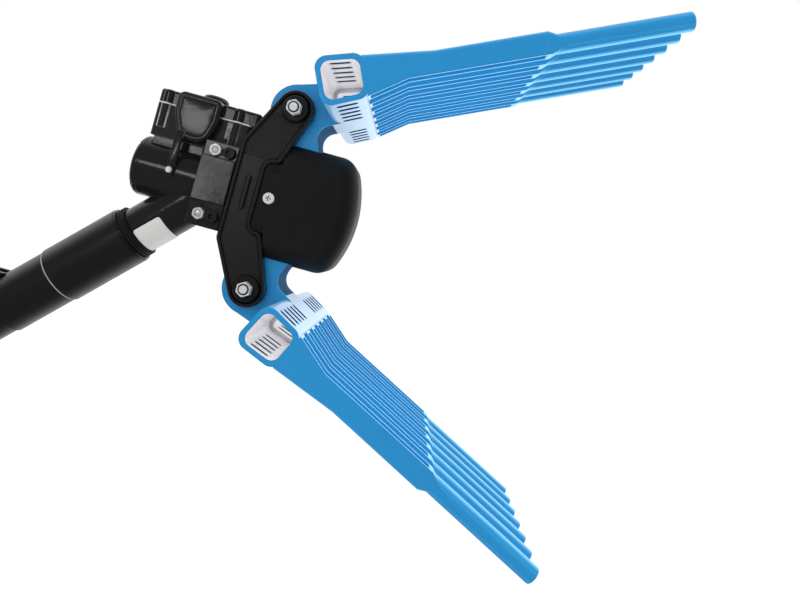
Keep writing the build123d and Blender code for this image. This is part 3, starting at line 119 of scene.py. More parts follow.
# Zones of the comb and casting materials
# Reach of the tunnel's painted light past its walls, and its stop short of the comb's sides
tunnel_paint_reach = 0.0004
tunnel_paint_end = 0.0008
base_margin = 0.003
tooth_side = 0.0006
rim_width = 0.0012
panel_depth = 0.0008
pad_tolerance = 0.0004
# The casting faces grow lighter towards the pole and towards the bottom: worn grey on the clamp pads, a
# painted highlight on the valve body's boss face
pad_fade = (-0.054, -0.040)
boss_fade = (0.060, 0.034)
boss_plain = 0.46
wave_repeat = 0.314
scratch_runs = ((35, 0.10), (-55, 0.14), (80, 0.12))  # turn in degrees, stretch

# Stage
floor_size = 6
floor_squares = 8
floor_grey = 0.92
floor_lift = 0.30
mirror_dim = 0.14
top_place, top_size = Vector((-0.3, -0.5, 1.5)), (1.2, 1.2)
front_place, front_size = Vector((-0.42, -1.02, 0.13)), (0.26, 0.16)
camera_shift = (-0.01, -0.0625)
camera_along, camera_level = 0.1064, -0.0092

black = (0, 0, 0)
white = (1, 1, 1, 1)


def colour(name, description, value):
    return FloatVectorProperty(name=name, description=description, default=value, subtype="COLOR", min=0,
                               max=1)


def length(name, description, value):
    return FloatProperty(name=name, description=description, default=value, subtype="DISTANCE", min=0,
                         unit="LENGTH")


def angle(name, description, degrees):
    turn = radians(degrees)
    return FloatProperty(name=name, description=description, default=turn, subtype="ANGLE", unit="ROTATION")


class HarvesterColours(bpy.types.PropertyGroup):
    """Colours of the plastics, castings and metals, and of the light and shade painted on them"""

    comb: colour("Comb", "Blue of the moulded combs", (0.019, 0.310, 0.680))
    comb_shade: colour("Comb shade", "Deeper blue of the moulding flow marks", (0.015, 0.270, 0.610))
    # Painted shade: deep blue on the arms' narrow faces, which stand in shade
    comb_deep: colour("Comb depth", "Deep blue of the arms' narrow faces", (0.004, 0.130, 0.330))
    # Painted light: the next three colours are emitted as a glow in the tooth channels, along the inner tooth
    # edges and arm rims, and on the slotted inner face of the base
    channel_light: colour("Channel light", "Light shining through between the teeth", (0.010, 0.060, 0.115))
    tooth_light: colour("Tooth light", "Bright inner edges of the teeth", (0.110, 0.390, 0.560))
    base_light: colour("Base light", "Bright slotted inner face of the comb base", (0.400, 0.470, 0.520))
    slot_shade: colour("Slot shade", "Shaded walls of the base slots", (0.004, 0.060, 0.150))
    # Painted light: a pale colour and an emitted glow stand for light seen inside the base tunnels, with
    # painted shade in their corners
    lining: colour("Tunnel lining", "Pale inside of the comb base tunnels", (0.86, 0.85, 0.86))
    lining_shade: colour("Lining shade", "Shaded corners of the tunnel lining", (0.30, 0.33, 0.40))
    lining_light: colour("Tunnel light", "Light shining through the tunnel lining", (0.150, 0.148, 0.152))
    bracket: colour("Bracket", "Satin black of the side brackets", (0.0085, 0.0085, 0.009))
    # Painted highlight: lighter colour on the beads' ridges and on the tops of the woven panel
    bracket_light: colour("Bracket light", "Rubbed beads and weave of the brackets", (0.042, 0.042, 0.044))
    # Painted shade: dark colour painted in grooves and recesses, where shade falls
    hollow: colour("Hollows", "Dirt in grooves and recesses", (0.0015, 0.0015, 0.0015))
    guard: colour("Guard", "Matt black of the drive guard", (0.0045, 0.0045, 0.0046))
    casting: colour("Casting", "Glossy black lacquer of the castings", (0.0120, 0.0105, 0.0100))
    # Painted highlight on the valve's edges and boss face, and a tone of the ring and gasket
    edge_light: colour("Bright edges", "Lacquer rubbed thin along the valve's edges", (0.45, 0.45, 0.45))
    casting_wear: colour("Worn lacquer", "Greyed lacquer where twigs have rubbed", (0.060, 0.060, 0.062))
    pad_wear: colour("Worn pad", "Scratched pads of the clamp plates", (0.110, 0.110, 0.112))
    sleeve: colour("Sleeve", "Satin black of the pole sleeves", (0.0035, 0.0035, 0.0035))
    black_oxide: colour("Black oxide", "Oiled black of the cap screws and washers", (0.007, 0.007, 0.0072))
    zinc: colour("Zinc", "Bright zinc of bolts and nuts", (0.90, 0.90, 0.89))
    steel: colour("Steel", "Turned steel of rods and pins", (0.60, 0.60, 0.60))
    label: colour("Label", "Silver of the bare plate", (0.92, 0.91, 0.88))
    label_shade: colour("Label shade", "Brushed lines of the bare plate", (0.78, 0.77, 0.74))
    ring: colour("Ring", "Grey ring between the sleeves", (0.26, 0.26, 0.255))
    rubber: colour("Rubber", "Seal rubber", (0.012, 0.012, 0.012))
    bronze: colour("Bronze", "Bearing bronze", (0.62, 0.41, 0.20))
    aluminium: colour("Aluminium", "Turned aluminium", (0.72, 0.72, 0.73))


class HarvesterSizes(bpy.types.PropertyGroup):
    """Sizes of edges, grain, small pieces and comb bases"""

    comb_edge: length("Comb edge", "Edge radius of the combs", 0.0016)
    casting_edge: length("Casting edge", "Edge radius of the castings", 0.0009)
    sheet_edge: length("Bracket edge", "Edge radius of the brackets", 0.0012)
    metal_edge: length("Metal edge", "Edge radius of the fasteners", 0.00025)
    grain_size: length("Grain", "Size of the moulded grain", 0.0009)
    knurl_pitch: length("Knurl pitch", "Pitch of the brackets' woven panel", 0.0018)
    panel_low: length("Panel start", "Start of the panel above the head's middle", 0.027)
    panel_high: length("Panel end", "End of the panel above the head's middle", 0.062)
    nut_flats: length("Nut flats", "Pivot nuts across their flats", 0.010)
    nut_bore: length("Nut bore", "Bore radius of the pivot nuts", 0.00302)
    # Painted shade: a dark ring in each nut's bore stands for the shaded gap round the bolt end
    nut_insert: length("Nut insert", "Outer radius of the pivot nuts' inserts", 0.0041)
    nut_sink: length("Insert depth", "Depth of the inserts below the nuts' faces", 0.0005)
    bolt_flats: length("Bolt flats", "Flange bolts across their flats", 0.008)
    bolt_head: length("Bolt head", "Head height of the flange bolts", 0.004)
    bolt_radius: length("Bolt radius", "Shank radius of the flange bolts", 0.0025)
    boss_face: length("Boss face", "Valve boss from the middle plane", 0.0180)
    hood_inner: length("Hood inside", "Hood's back from the middle plane", 0.01702)
    hood_outer: length("Hood outside", "Hood's front from the middle plane", 0.0249)
    strap_width: length("Strap width", "Width of the hood's strap", 0.0056)
    strap_thickness: length("Strap thickness", "Thickness of the hood's strap", 0.0026)
    spring_wire: length("Spring wire", "Wire thickness of the plunger spring", 0.0008)
    spring_radius: length("Spring radius", "Coil radius of the plunger spring", 0.00320)
    spring_length: length("Spring length", "Length of the plunger spring at rest", 0.00796)
    plunger_travel: length("Plunger travel", "Full travel of the plunger", 0.0024)
    upper_rest: angle("Upper comb", "Rest angle of the upper comb", 25)
    lower_rest: angle("Lower comb", "Rest angle of the lower comb", 27)
    tunnel_length: length("Tunnel length", "Tunnel of the comb base, along the teeth", 0.0258)
    tunnel_middle: length("Tunnel place", "Middle of the tunnel, from the comb pivot", 0.0400)
    tunnel_outer: length("Tunnel outer wall", "Tunnel's outer wall above the pivot", 0.0145)
    tunnel_inner: length("Tunnel inner wall", "Tunnel's inner wall below the pivot", 0.01005)
    outer_slope: angle("Outer slope", "Fall of the outer wall towards the teeth", 5.75)
    inner_slope: angle("Inner slope", "Rise of the inner wall towards the teeth", 3.33)


class HarvesterStudio(bpy.types.PropertyGroup):
    """Camera, floor and light"""

    distance: length("Camera distance", "Distance of the camera in front of the head", 0.523)
    roll: angle("Roll", "Roll of the camera", 15.43)
    lens: FloatProperty(name="Lens", description="Focal length", default=30.6, subtype="DISTANCE_CAMERA")
    floor_drop: length("Floor drop", "Depth of the floor below the object", 0.30)
    sky: FloatProperty(name="Surround", description="Strength of the even surround", default=0.84, min=0)
    top: FloatProperty(name="Top lamp", description="Wide lamp above", default=6, min=0, unit="POWER")
    front: FloatProperty(name="Front lamp", description="Small lamp", default=0.5, min=0, unit="POWER")


settings_groups = (
    ("harvester_colours", HarvesterColours),
    ("harvester_sizes", HarvesterSizes),
    ("harvester_studio", HarvesterStudio),
)


def colours():
    return bpy.context.scene.harvester_colours


def sizes():
    return bpy.context.scene.harvester_sizes


def add(tree, kind, values=None, **settings):
    """Adds a shader node, makes its settings, and fills or links its inputs."""
    made = tree.nodes.new(f"ShaderNode{kind}")
    for name, value in settings.items():
        setattr(made, name, value)
    for socket, value in (values or {}).items():
        if isinstance(value, bpy.types.NodeSocket):
            tree.links.new(value, made.inputs[socket])
        else:
            made.inputs[socket].default_value = value
    return made


def calc(tree, operation, *values, clamp=False):
    """The result of one sum on numbers or sockets."""
    made = add(tree, "Math", dict(enumerate(values)), operation=operation, use_clamp=clamp)
    return made.outputs[0]


def product(tree, first, *others):
    """Masks multiplied together."""
    for other in others:
        first = calc(tree, "MULTIPLY", first, other)
    return first


def ramp(tree, value, start=0.0, end=1.0, low=0.0, high=1.0, **settings):
    """Maps the range from start to end onto the range from low to high."""
    ranges = {"Value": value, "From Min": start, "From Max": end, "To Min": low, "To Max": high}
    return add(tree, "MapRange", ranges, **settings).outputs[0]


def noise(tree, place, scale, detail):
    values = {"Vector": place, "Scale": scale, "Detail": detail}
    return add(tree, "TexNoise", values).outputs["Fac"]


def mix(tree, factor, first, second):
    """A mask's mix of two colours, each of them even or from another node."""
    values = {"Factor": factor}
    for socket, value in (("A", first), ("B", second)):
        values[socket] = value if isinstance(value, bpy.types.NodeSocket) else (*value, 1)
    return add(tree, "Mix", values, data_type="RGBA").outputs["Result"]


def parts(tree, vector):
    return add(tree, "SeparateXYZ", {0: vector}).outputs


def mapped(tree, vector, place=(0, 0, 0), turn=(0, 0, 0), scale=(1, 1, 1), kind="POINT"):
    values = {"Vector": vector, "Location": place, "Rotation": turn, "Scale": scale}
    return add(tree, "Mapping", values, vector_type=kind).outputs[0]


def object_place(tree):
    return add(tree, "TexCoord").outputs["Object"]


def new_group(name, inputs, outputs):
    """A shader node group with its sockets, and its two end nodes."""
    group = bpy.data.node_groups.new(name, "ShaderNodeTree")
    for socket, value in inputs.items():
        kind = "NodeSocketVector" if isinstance(value, tuple) else "NodeSocketFloat"
        group.interface.new_socket(socket, in_out="INPUT", socket_type=kind).default_value = value
    for socket in outputs:
        kind = "NodeSocketVector" if socket == "Normal" else "NodeSocketFloat"
        group.interface.new_socket(socket, in_out="OUTPUT", socket_type=kind)
    return group, group.nodes.new("NodeGroupInput").outputs, group.nodes.new("NodeGroupOutput").inputs


def give(group, result, values):
    """Links the results to the group's outputs."""
    for name, value in values.items():
        group.links.new(value, result[name])
    return group


def surface_grain():
    """Fine moulded or cast grain with larger waviness under it."""
    group, given, result = new_group(
        "surface_grain", {"Grain size": 0.001, "Wave size": 0.02, "Wave share": 0.5}, ("Height", "Cloud"))
    place = object_place(group)
    fine = noise(group, place, calc(group, "DIVIDE", 1.0, given["Grain size"]), detail=3.0)
    wave = noise(group, place, calc(group, "DIVIDE", 1.0, given["Wave size"]), detail=2.0)
    mixed = add(group, "Mix", {"Factor": given["Wave share"], "A": fine, "B": wave})
    return give(group, result, {"Height": mixed.outputs["Result"], "Cloud": wave})


def rounded_edges():
    """Rounded edge normals, and a mask of the edges, which the materials paint as rubbed wear, and on the
    valve as painted highlights.
    """
    group, given, result = new_group(
        "rounded_edges", {"Radius": 0.0005, "Wear radius": 0.0008}, ("Normal", "Wear and highlight"))
    narrow = add(group, "Bevel", {"Radius": given["Radius"]}, samples=6).outputs["Normal"]
    wide = add(group, "Bevel", {"Radius": given["Wear radius"]}, samples=4).outputs["Normal"]
    flat = add(group, "NewGeometry").outputs["Normal"]
    facing = add(group, "VectorMath", {0: wide, 1: flat}, operation="DOT_PRODUCT").outputs["Value"]
    patchy = noise(group, object_place(group), scale=220.0, detail=4.0)
    worn_and_highlit = product(group, ramp(group, facing, start=0.97, end=0.80), patchy)
    return give(group, result, {"Normal": narrow, "Wear and highlight": worn_and_highlit})


def scuffs():
    """Mask of short crossing scratches in rubbed patches."""
    group, given, result = new_group("scuffs", {"Size": 0.004, "Amount": 0.5}, ("Mask",))
    place = object_place(group)
    scale = calc(group, "DIVIDE", 1.0, given["Size"])
    every = 0.0
    for turn, stretch in scratch_runs:
        along = mapped(group, place, turn=(0, radians(turn), 0), scale=(1, 1, stretch))
        lines = ramp(group, noise(group, along, scale, detail=4.0), start=0.60, end=0.70)
        every = calc(group, "MAXIMUM", every, lines)
    patch = ramp(group, noise(group, place, scale=70.0, detail=3.0), start=0.42, end=0.62)
    return give(group, result, {"Mask": product(group, every, patch, given["Amount"])})


def tool_lines():
    """Brushed or turned lines that run across one direction."""
    group, given, result = new_group("tool_lines", {"Vector": (0, 0, 0), "Pitch": 0.0004}, ("Height", "Tone"))
    fine = noise(group, given["Vector"], calc(group, "DIVIDE", 1.0, given["Pitch"]), detail=2.0)
    broad = noise(group, given["Vector"], scale=90.0, detail=2.0)
    return give(group, result, {"Height": fine, "Tone": broad})


def woven_panel():
    """Height of the woven panel on the upper bracket arm."""
    group, given, result = new_group(
        "woven_panel", {"Vector": (0, 0, 0), "Pitch": 0.0014, "Low": 0.027, "High": 0.062, "Outer": 0.028},
        ("Height",))
    scale = calc(group, "DIVIDE", wave_repeat, given["Pitch"])
    waves = []
    for turn in (45, -45):
        along = mapped(group, given["Vector"], turn=(0, radians(turn), 0))
        wave = add(group, "TexWave", {"Vector": along, "Scale": scale}, bands_direction="X")
        waves.append(wave.outputs["Fac"])
    place = parts(group, given["Vector"])
    above = calc(group, "GREATER_THAN", place["Z"], given["Low"])
    below = calc(group, "LESS_THAN", place["Z"], given["High"])
    sunk = calc(group, "LESS_THAN", calc(group, "ABSOLUTE", place["Y"]), given["Outer"])
    return give(group, result, {"Height": product(group, *waves, above, below, sunk)})


def tunnel_inside():
    """Mask of the inside of a comb base tunnel, from coordinates of the comb."""
    group, given, result = new_group(
        "tunnel_inside",
        {"Vector": (0, 0, 0), "Middle": 0.04, "Half length": 0.013, "Half width": 0.08, "Outer": 0.0145,
         "Outer slope": -0.08, "Inner": -0.010, "Inner slope": 0.045},
        ("Mask",))
    place = parts(group, given["Vector"])
    along = calc(group, "SUBTRACT", place["X"], given["Middle"])
    tests = [calc(group, "COMPARE", along, 0.0, given["Half length"]),
             calc(group, "COMPARE", place["Y"], 0.0, given["Half width"])]
    for wall, operation in (("Outer", "LESS_THAN"), ("Inner", "GREATER_THAN")):
        level = calc(group, "MULTIPLY_ADD", along, given[f"{wall} slope"], given[wall])
        tests.append(calc(group, operation, place["Z"], level))
    return give(group, result, {"Mask": product(group, *tests)})


def comb_zones():
    """Masks of a comb's tooth channels, inner tooth edges, slotted face, slot walls, arm edges and rim."""
    group, given, result = new_group(
        "comb_zones",
        {"Vector": (0, 0, 0), "Normal": (0, 0, 1), "Base start": 0.026, "Base end": 0.054,
         "Half width": 0.081, "Arm half": 0.0186, "Slot middle": 0.040, "Slot half": 0.0085},
        ("Channels", "Tooth edges", "Base face", "Slots", "Arm edges", "Arm rim"))
    place = parts(group, given["Vector"])
    facing = parts(group, given["Normal"])
    sideways = ramp(group, calc(group, "ABSOLUTE", facing["Y"]), start=0.5, end=0.8)
    upright = ramp(group, calc(group, "ABSOLUTE", facing["Z"]), start=0.90, end=0.40)
    below = ramp(group, facing["Z"], start=-0.80, end=-0.98)
    inward = ramp(group, facing["Z"], start=-0.30, end=-0.80)
    along = ramp(group, place["X"], given["Base start"], given["Base end"], low=0.35)
    teeth = calc(group, "GREATER_THAN", place["X"], given["Base end"])
    stem = calc(group, "LESS_THAN", place["X"], given["Base start"])
    base = calc(group, "SUBTRACT", along, calc(group, "ADD", teeth, stem), clamp=True)
    slotted = calc(group, "COMPARE", place["X"], given["Slot middle"], given["Slot half"])
    between = calc(group, "COMPARE", place["Y"], 0.0, given["Half width"])
    within = calc(group, "COMPARE", place["Y"], 0.0, given["Arm half"])
    rim = calc(group, "COMPARE", calc(group, "ABSOLUTE", place["Y"]), given["Arm half"], rim_width)
    inner_teeth = product(group, teeth, between)
    arm_edges = product(group, stem, within)
    return give(group, result, {
        "Channels": product(group, inner_teeth, upright), "Tooth edges": product(group, inner_teeth, below),
        "Base face": product(group, base, inward), "Slots": product(group, between, slotted, sideways),
        "Arm edges": arm_edges, "Arm rim": product(group, arm_edges, rim)})


def hollows():
    """Masks of hollows and of outer ridges near by."""
    group, given, result = new_group("hollows", {"Distance": 0.002}, ("Hollow", "Ridge"))
    masks = {}
    for name, inside in (("Hollow", False), ("Ridge", True)):
        near = add(group, "AmbientOcclusion", {"Distance": given["Distance"]}, samples=8,
                   inside=inside, only_local=True)
        masks[name] = calc(group, "SUBTRACT", 1.0, near.outputs["AO"])
    return give(group, result, masks)


def shared(tree, maker, values):
    """The outputs of a shared group's node. The group has its maker's name, and is made on first use."""
    group = bpy.data.node_groups.get(maker.__name__) or maker()
    return add(tree, "Group", values, node_tree=group).outputs


def grained(tree, fine, wave, share):
    return shared(tree, surface_grain, {"Grain size": fine, "Wave size": wave, "Wave share": share})


def rounded(tree, radius, wear):
    return shared(tree, rounded_edges, {"Radius": radius, "Wear radius": wear})


def lined(tree, vector, pitch):
    return shared(tree, tool_lines, {"Vector": vector, "Pitch": pitch})


def new_material(name, **constants):
    """A material, its node tree and its shader's inputs, which hold the even values."""
    material = bpy.data.materials.new(name)
    material.use_nodes = True
    shader = material.node_tree.nodes["Principled BSDF"].inputs
    for socket, value in constants.items():
        shader[socket.replace("_", " ").title().replace("Ior", "IOR")].default_value = value
    return material, material.node_tree, shader


def relief(tree, height, normal, depth):
    """A bump of that depth in metres on top of a normal."""
    values = {"Height": height, "Distance": depth, "Strength": 1.0, "Normal": normal}
    return add(tree, "Bump", values).outputs[0]


def cover(material, base, dull, height, normal, rough, depth):
    """Feeds a shader its colour, a roughness that follows a mask, and a relief on top of a normal."""
    tree = material.node_tree
    shader = tree.nodes["Principled BSDF"].inputs
    tree.links.new(base, shader["Base Color"])
    tree.links.new(ramp(tree, dull, low=rough[0], high=rough[1]), shader["Roughness"])
    tree.links.new(relief(tree, height, normal, depth), shader["Normal"])
    return material


def cover_grained(material, base, grain, edges, rough, depth):
    """Covers a material whose roughness and relief follow its grain."""
    return cover(material, base, grain["Cloud"], grain["Height"], edges["Normal"], rough, depth)


def from_head(tree):
    """Object coordinates counted from the head's middle."""
    return mapped(tree, object_place(tree), -head)


def from_comb(tree, side, rest, kind="Object"):
    """Coordinates or normals of a comb at rest: X along its teeth, Z towards its outer side."""
    place = add(tree, "TexCoord").outputs[kind]
    pivot = head + Vector((0, 0, side * pivot_half)) if kind == "Object" else Vector()
    turn = (0, -rest, 0) if side > 0 else (radians(180), rest, 0)
    return mapped(tree, place, pivot, turn, kind="TEXTURE")


def along_pole(tree, stretch):
    """Object coordinates turned so that X runs along the pole, and stretched round it."""
    return mapped(tree, object_place(tree), turn=(0, pole_turn, 0), scale=(1, stretch, stretch))


def dress(material, *names):
    for name in names:
        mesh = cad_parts[name].data
        mesh.materials.clear()
        mesh.materials.append(material)


def new_mesh(name, shape):
    """A mesh made of a finished bmesh."""
    mesh = bpy.data.meshes.new(name)
    shape.to_mesh(mesh)
    shape.free()
    return mesh


def new_object(name, data):
    """An object that shows a mesh, a lamp or a camera in the scene."""
    made = bpy.data.objects.new(name, data)
    bpy.context.scene.collection.objects.link(made)
    return made


def keep_piece(name, shape, material, body, slot, *stands_for):
    """Finishes a bmesh as a smooth piece that rides on a body and stands for CAD nodes."""
    bmesh.ops.remove_doubles(shape, verts=shape.verts, dist=merge_distance)
    bmesh.ops.recalc_face_normals(shape, faces=shape.faces)
    mesh = new_mesh(name, shape)
    mesh.shade_smooth()
    mesh.set_sharp_from_angle(angle=smooth_angle)
    mesh.materials.append(material)
    piece = new_object(name, mesh)
    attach(piece, body)
    if stands_for:
        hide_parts(*stands_for)
    return piece


def gather(shape, part):
    """Joins a finished part into a shape."""
    mesh = new_mesh("part", part)
    shape.from_mesh(mesh)
    bpy.data.meshes.remove(mesh)


def extrude(part, faces):
    """Extrudes faces in place, and returns the new corners and the new faces."""
    made = bmesh.ops.extrude_face_region(part, geom=faces)["geom"]
    kinds = (bmesh.types.BMVert, bmesh.types.BMFace)
    return [[item for item in made if isinstance(item, kind)] for kind in kinds]


def round_off(part, geom, offset, segments, affect="EDGES"):
    """Bevels edges or corners, and returns the new faces."""
    return bmesh.ops.bevel(part, geom=geom, offset=offset, segments=segments, profile=0.5, affect=affect,
                           material=-1)["faces"]


def across_head(part, middle, side):
    """Stands a part that was made round the Z axis across the head, with its top towards one side."""
    turn = Matrix.Rotation(radians(-90 * side), 3, "X")
    bmesh.ops.rotate(part, verts=part.verts, cent=(0, 0, 0), matrix=turn)
    bmesh.ops.translate(part, verts=part.verts, vec=middle)
    return part


def hexagon(middle, flats, height, bore, side):
    """A hexagon with clipped corners and a countersunk bore, standing on its middle towards one side."""
    part = bmesh.new()
    corner = flats / sqrt(3)
    sides = 6
    bmesh.ops.create_circle(part, segments=sides, radius=corner)
    bmesh.ops.subdivide_edges(part, edges=part.edges[:], cuts=bore_segments // sides - 1)
    bmesh.ops.create_circle(part, segments=bore_segments, radius=bore)
    bmesh.ops.bridge_loops(part, edges=part.edges[:])
    top, _ = extrude(part, part.faces[:])
    bmesh.ops.translate(part, verts=top, vec=(0, 0, height))
    bmesh.ops.recalc_face_normals(part, faces=part.faces)
    mouth = [edge for edge in part.edges
             if all(vert.co.z > height / 2 and vert.co.xy.length < bore_margin * bore for vert in edge.verts)]
    round_off(part, mouth, mouth_share * bore, segments=1)
    clipped = [vert for vert in part.verts
               if vert.co.z > height / 2 and vert.co.xy.length > corner_margin * corner]
    round_off(part, clipped, clip_share * flats, segments=2, affect="VERTICES")
    return across_head(part, middle, side)


def round_bar(middle, radius, height, edge, side):
    """A round bar with a bevelled end, standing on its middle towards one side."""
    part = bmesh.new()
    bmesh.ops.create_cone(part, cap_ends=True, segments=round_segments, radius1=radius, radius2=radius,
                          depth=height, matrix=Matrix.Translation((0, 0, height / 2)))
    rim = [line for line in part.edges if all(vert.co.z > height / 2 for vert in line.verts)]
    round_off(part, rim, edge, segments=2)
    return across_head(part, middle, side)


def collar(middle, inner, outer, height, side):
    """A round collar standing on its middle towards one side."""
    part = bmesh.new()
    for radius in (outer, inner):
        bmesh.ops.create_circle(part, segments=round_segments, radius=radius)
    bmesh.ops.bridge_loops(part, edges=part.edges[:])
    top, _ = extrude(part, part.faces[:])
    bmesh.ops.translate(part, verts=top, vec=(0, 0, height))
    return across_head(part, middle, side)


def pivot_nut_pair(material, gap_shade_material):
    """The two nuts on the near ends of the pivot bolts, and dark rings in their bores that stand for painted
    shade in the gap round each bolt end.
    """
    low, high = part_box("pivot_nuts")
    chosen = sizes()
    height = high.y - low.y
    shape = bmesh.new()
    gap_shade_rings = bmesh.new()
    for end in (1, -1):
        middle = (head.x, high.y, head.z + end * pivot_half)
        gather(shape, hexagon(middle, chosen.nut_flats, height, chosen.nut_insert, -1))
        # Painted shade: the dark ring in the nut's bore
        gap_shade_radius = chosen.nut_insert - seat_gap
        gather(gap_shade_rings, collar(middle, chosen.nut_bore, gap_shade_radius, height - chosen.nut_sink, -1))
    keep_piece("pivot_nut_pair", shape, material, "head_and_pole", "steel", "pivot_nuts")
    keep_piece("nut_gap_shade_rings", gap_shade_rings, gap_shade_material, "head_and_pole", "black_screw")


def flange_bolt_pair(material):
    """The two hexagon bolts that run through both clamp plates."""
    low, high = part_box("flange_bolts")
    chosen = sizes()
    half = (high.z - low.z) / 2 - chosen.bolt_flats / 2
    radius, edge = chosen.bolt_radius, chosen.metal_edge
    shape = bmesh.new()
    for end in (1, -1):
        middle = Vector(((low.x + high.x) / 2, low.y + chosen.bolt_head, (low.z + high.z) / 2 + end * half))
        gather(shape, hexagon(middle, chosen.bolt_flats, chosen.bolt_head, radius, -1))
        gather(shape, round_bar(middle, radius, chosen.bolt_head * shank_share, edge, -1))
        gather(shape, round_bar(middle, radius, high.y - middle.y, edge, 1))
    keep_piece("flange_bolt_pair", shape, material, "head_and_pole", "steel", "flange_bolts")


def hood_shield():
    """The hood's shield: a rounded outline with a thick rolled rim round a pillowed panel."""
    chosen = sizes()
    part = bmesh.new()
    corners = [part.verts.new(head + Vector((along, -chosen.hood_inner, level)))
               for along, level, _ in hood_outline]
    part.faces.new(corners)
    for corner, (_, _, cut) in zip(corners, hood_outline):
        round_off(part, [corner], cut, hood_cut_segments, "VERTICES")
    raised, _ = extrude(part, part.faces[:])
    bmesh.ops.translate(part, verts=raised, vec=(0, chosen.hood_inner - chosen.hood_outer, 0))
    bmesh.ops.recalc_face_normals(part, faces=part.faces)
    front = head.y - chosen.hood_outer + face_tolerance
    panel = [face for face in part.faces if face.calc_center_median().y < front]
    rolled = round_off(part, list(panel[0].edges), hood_roll, hood_roll_segments)
    panel = [face for face in part.faces if face not in rolled and face.calc_center_median().y < front]
    bmesh.ops.inset_region(part, faces=panel, thickness=panel_inset, depth=-panel_sink, use_even_offset=True)
    centre = panel[0].calc_center_median()
    for size, lift in pillow_steps:
        verts, crown = extrude(part, panel)
        bmesh.ops.delete(part, geom=panel, context="FACES_ONLY")
        panel = crown
        bmesh.ops.scale(part, verts=verts, vec=(size, 1, size), space=Matrix.Translation(-centre))
        bmesh.ops.translate(part, verts=verts, vec=(0, -lift, 0))
    return part


def hood_strap():
    """The strap that runs from the shield down to its screw, with a rounded foot."""
    chosen = sizes()
    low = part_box("exhaust_cover")[0]
    part = bmesh.new()
    top = head.z + strap_top
    size = Vector((chosen.strap_width, chosen.strap_thickness, top - low.z))
    middle = Vector((head.x + strap_place, low.y + chosen.strap_thickness / 2, (top + low.z) / 2))
    bmesh.ops.create_cube(part, size=1, matrix=Matrix.Translation(middle) @ Matrix.Diagonal((*size, 1)))
    foot = [edge for edge in part.edges if all(vert.co.z < middle.z for vert in edge.verts)
            and abs(edge.verts[0].co.y - edge.verts[1].co.y) > chosen.strap_thickness / 2]
    round_off(part, foot, strap_foot, segments=6)
    front = [edge for edge in part.edges if all(vert.co.y < middle.y for vert in edge.verts)
             and edge.calc_face_angle(0) > corner_angle]
    round_off(part, front, strap_edge, segments=3)
    return part


def exhaust_hood(material):
    """The shield-shaped hood over the exhaust, with its strap."""
    shape = bmesh.new()
    gather(shape, hood_shield())
    gather(shape, hood_strap())
    keep_piece("exhaust_hood", shape, material, "head_and_pole", "gloss_black", "exhaust_cover")


def spring_coil(material):
    """The wound spring under the hand valve's plunger."""
    low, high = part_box("plunger_spring")
    chosen = sizes()
    rise = chosen.spring_length - chosen.spring_wire
    steps = steps_per_turn * spring_turns
    upright = Matrix.Rotation(radians(90), 4, "X")
    shape = bmesh.new()
    bmesh.ops.create_circle(shape, segments=wire_segments, radius=chosen.spring_wire / 2,
                            matrix=Matrix.Translation((chosen.spring_radius, 0, 0)) @ upright)
    bmesh.ops.spin(shape, geom=shape.verts[:] + shape.edges[:], cent=(0, 0, 0), axis=(0, 0, 1),
                   dvec=(0, 0, rise / steps), angle=radians(360 * spring_turns), steps=steps)
    bmesh.ops.holes_fill(shape, edges=[edge for edge in shape.edges if edge.is_boundary], sides=0)
    bmesh.ops.translate(shape, verts=shape.verts, vec=(0, 0, -rise / 2))
    bmesh.ops.rotate(shape, verts=shape.verts, cent=(0, 0, 0), matrix=Matrix.Rotation(-pole_turn, 3, "Y"))
    bmesh.ops.translate(shape, verts=shape.verts, vec=(low + high) / 2)
    piece = keep_piece("spring_coil", shape, material, "head_and_pole", "steel", "plunger_spring")
    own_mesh(piece)


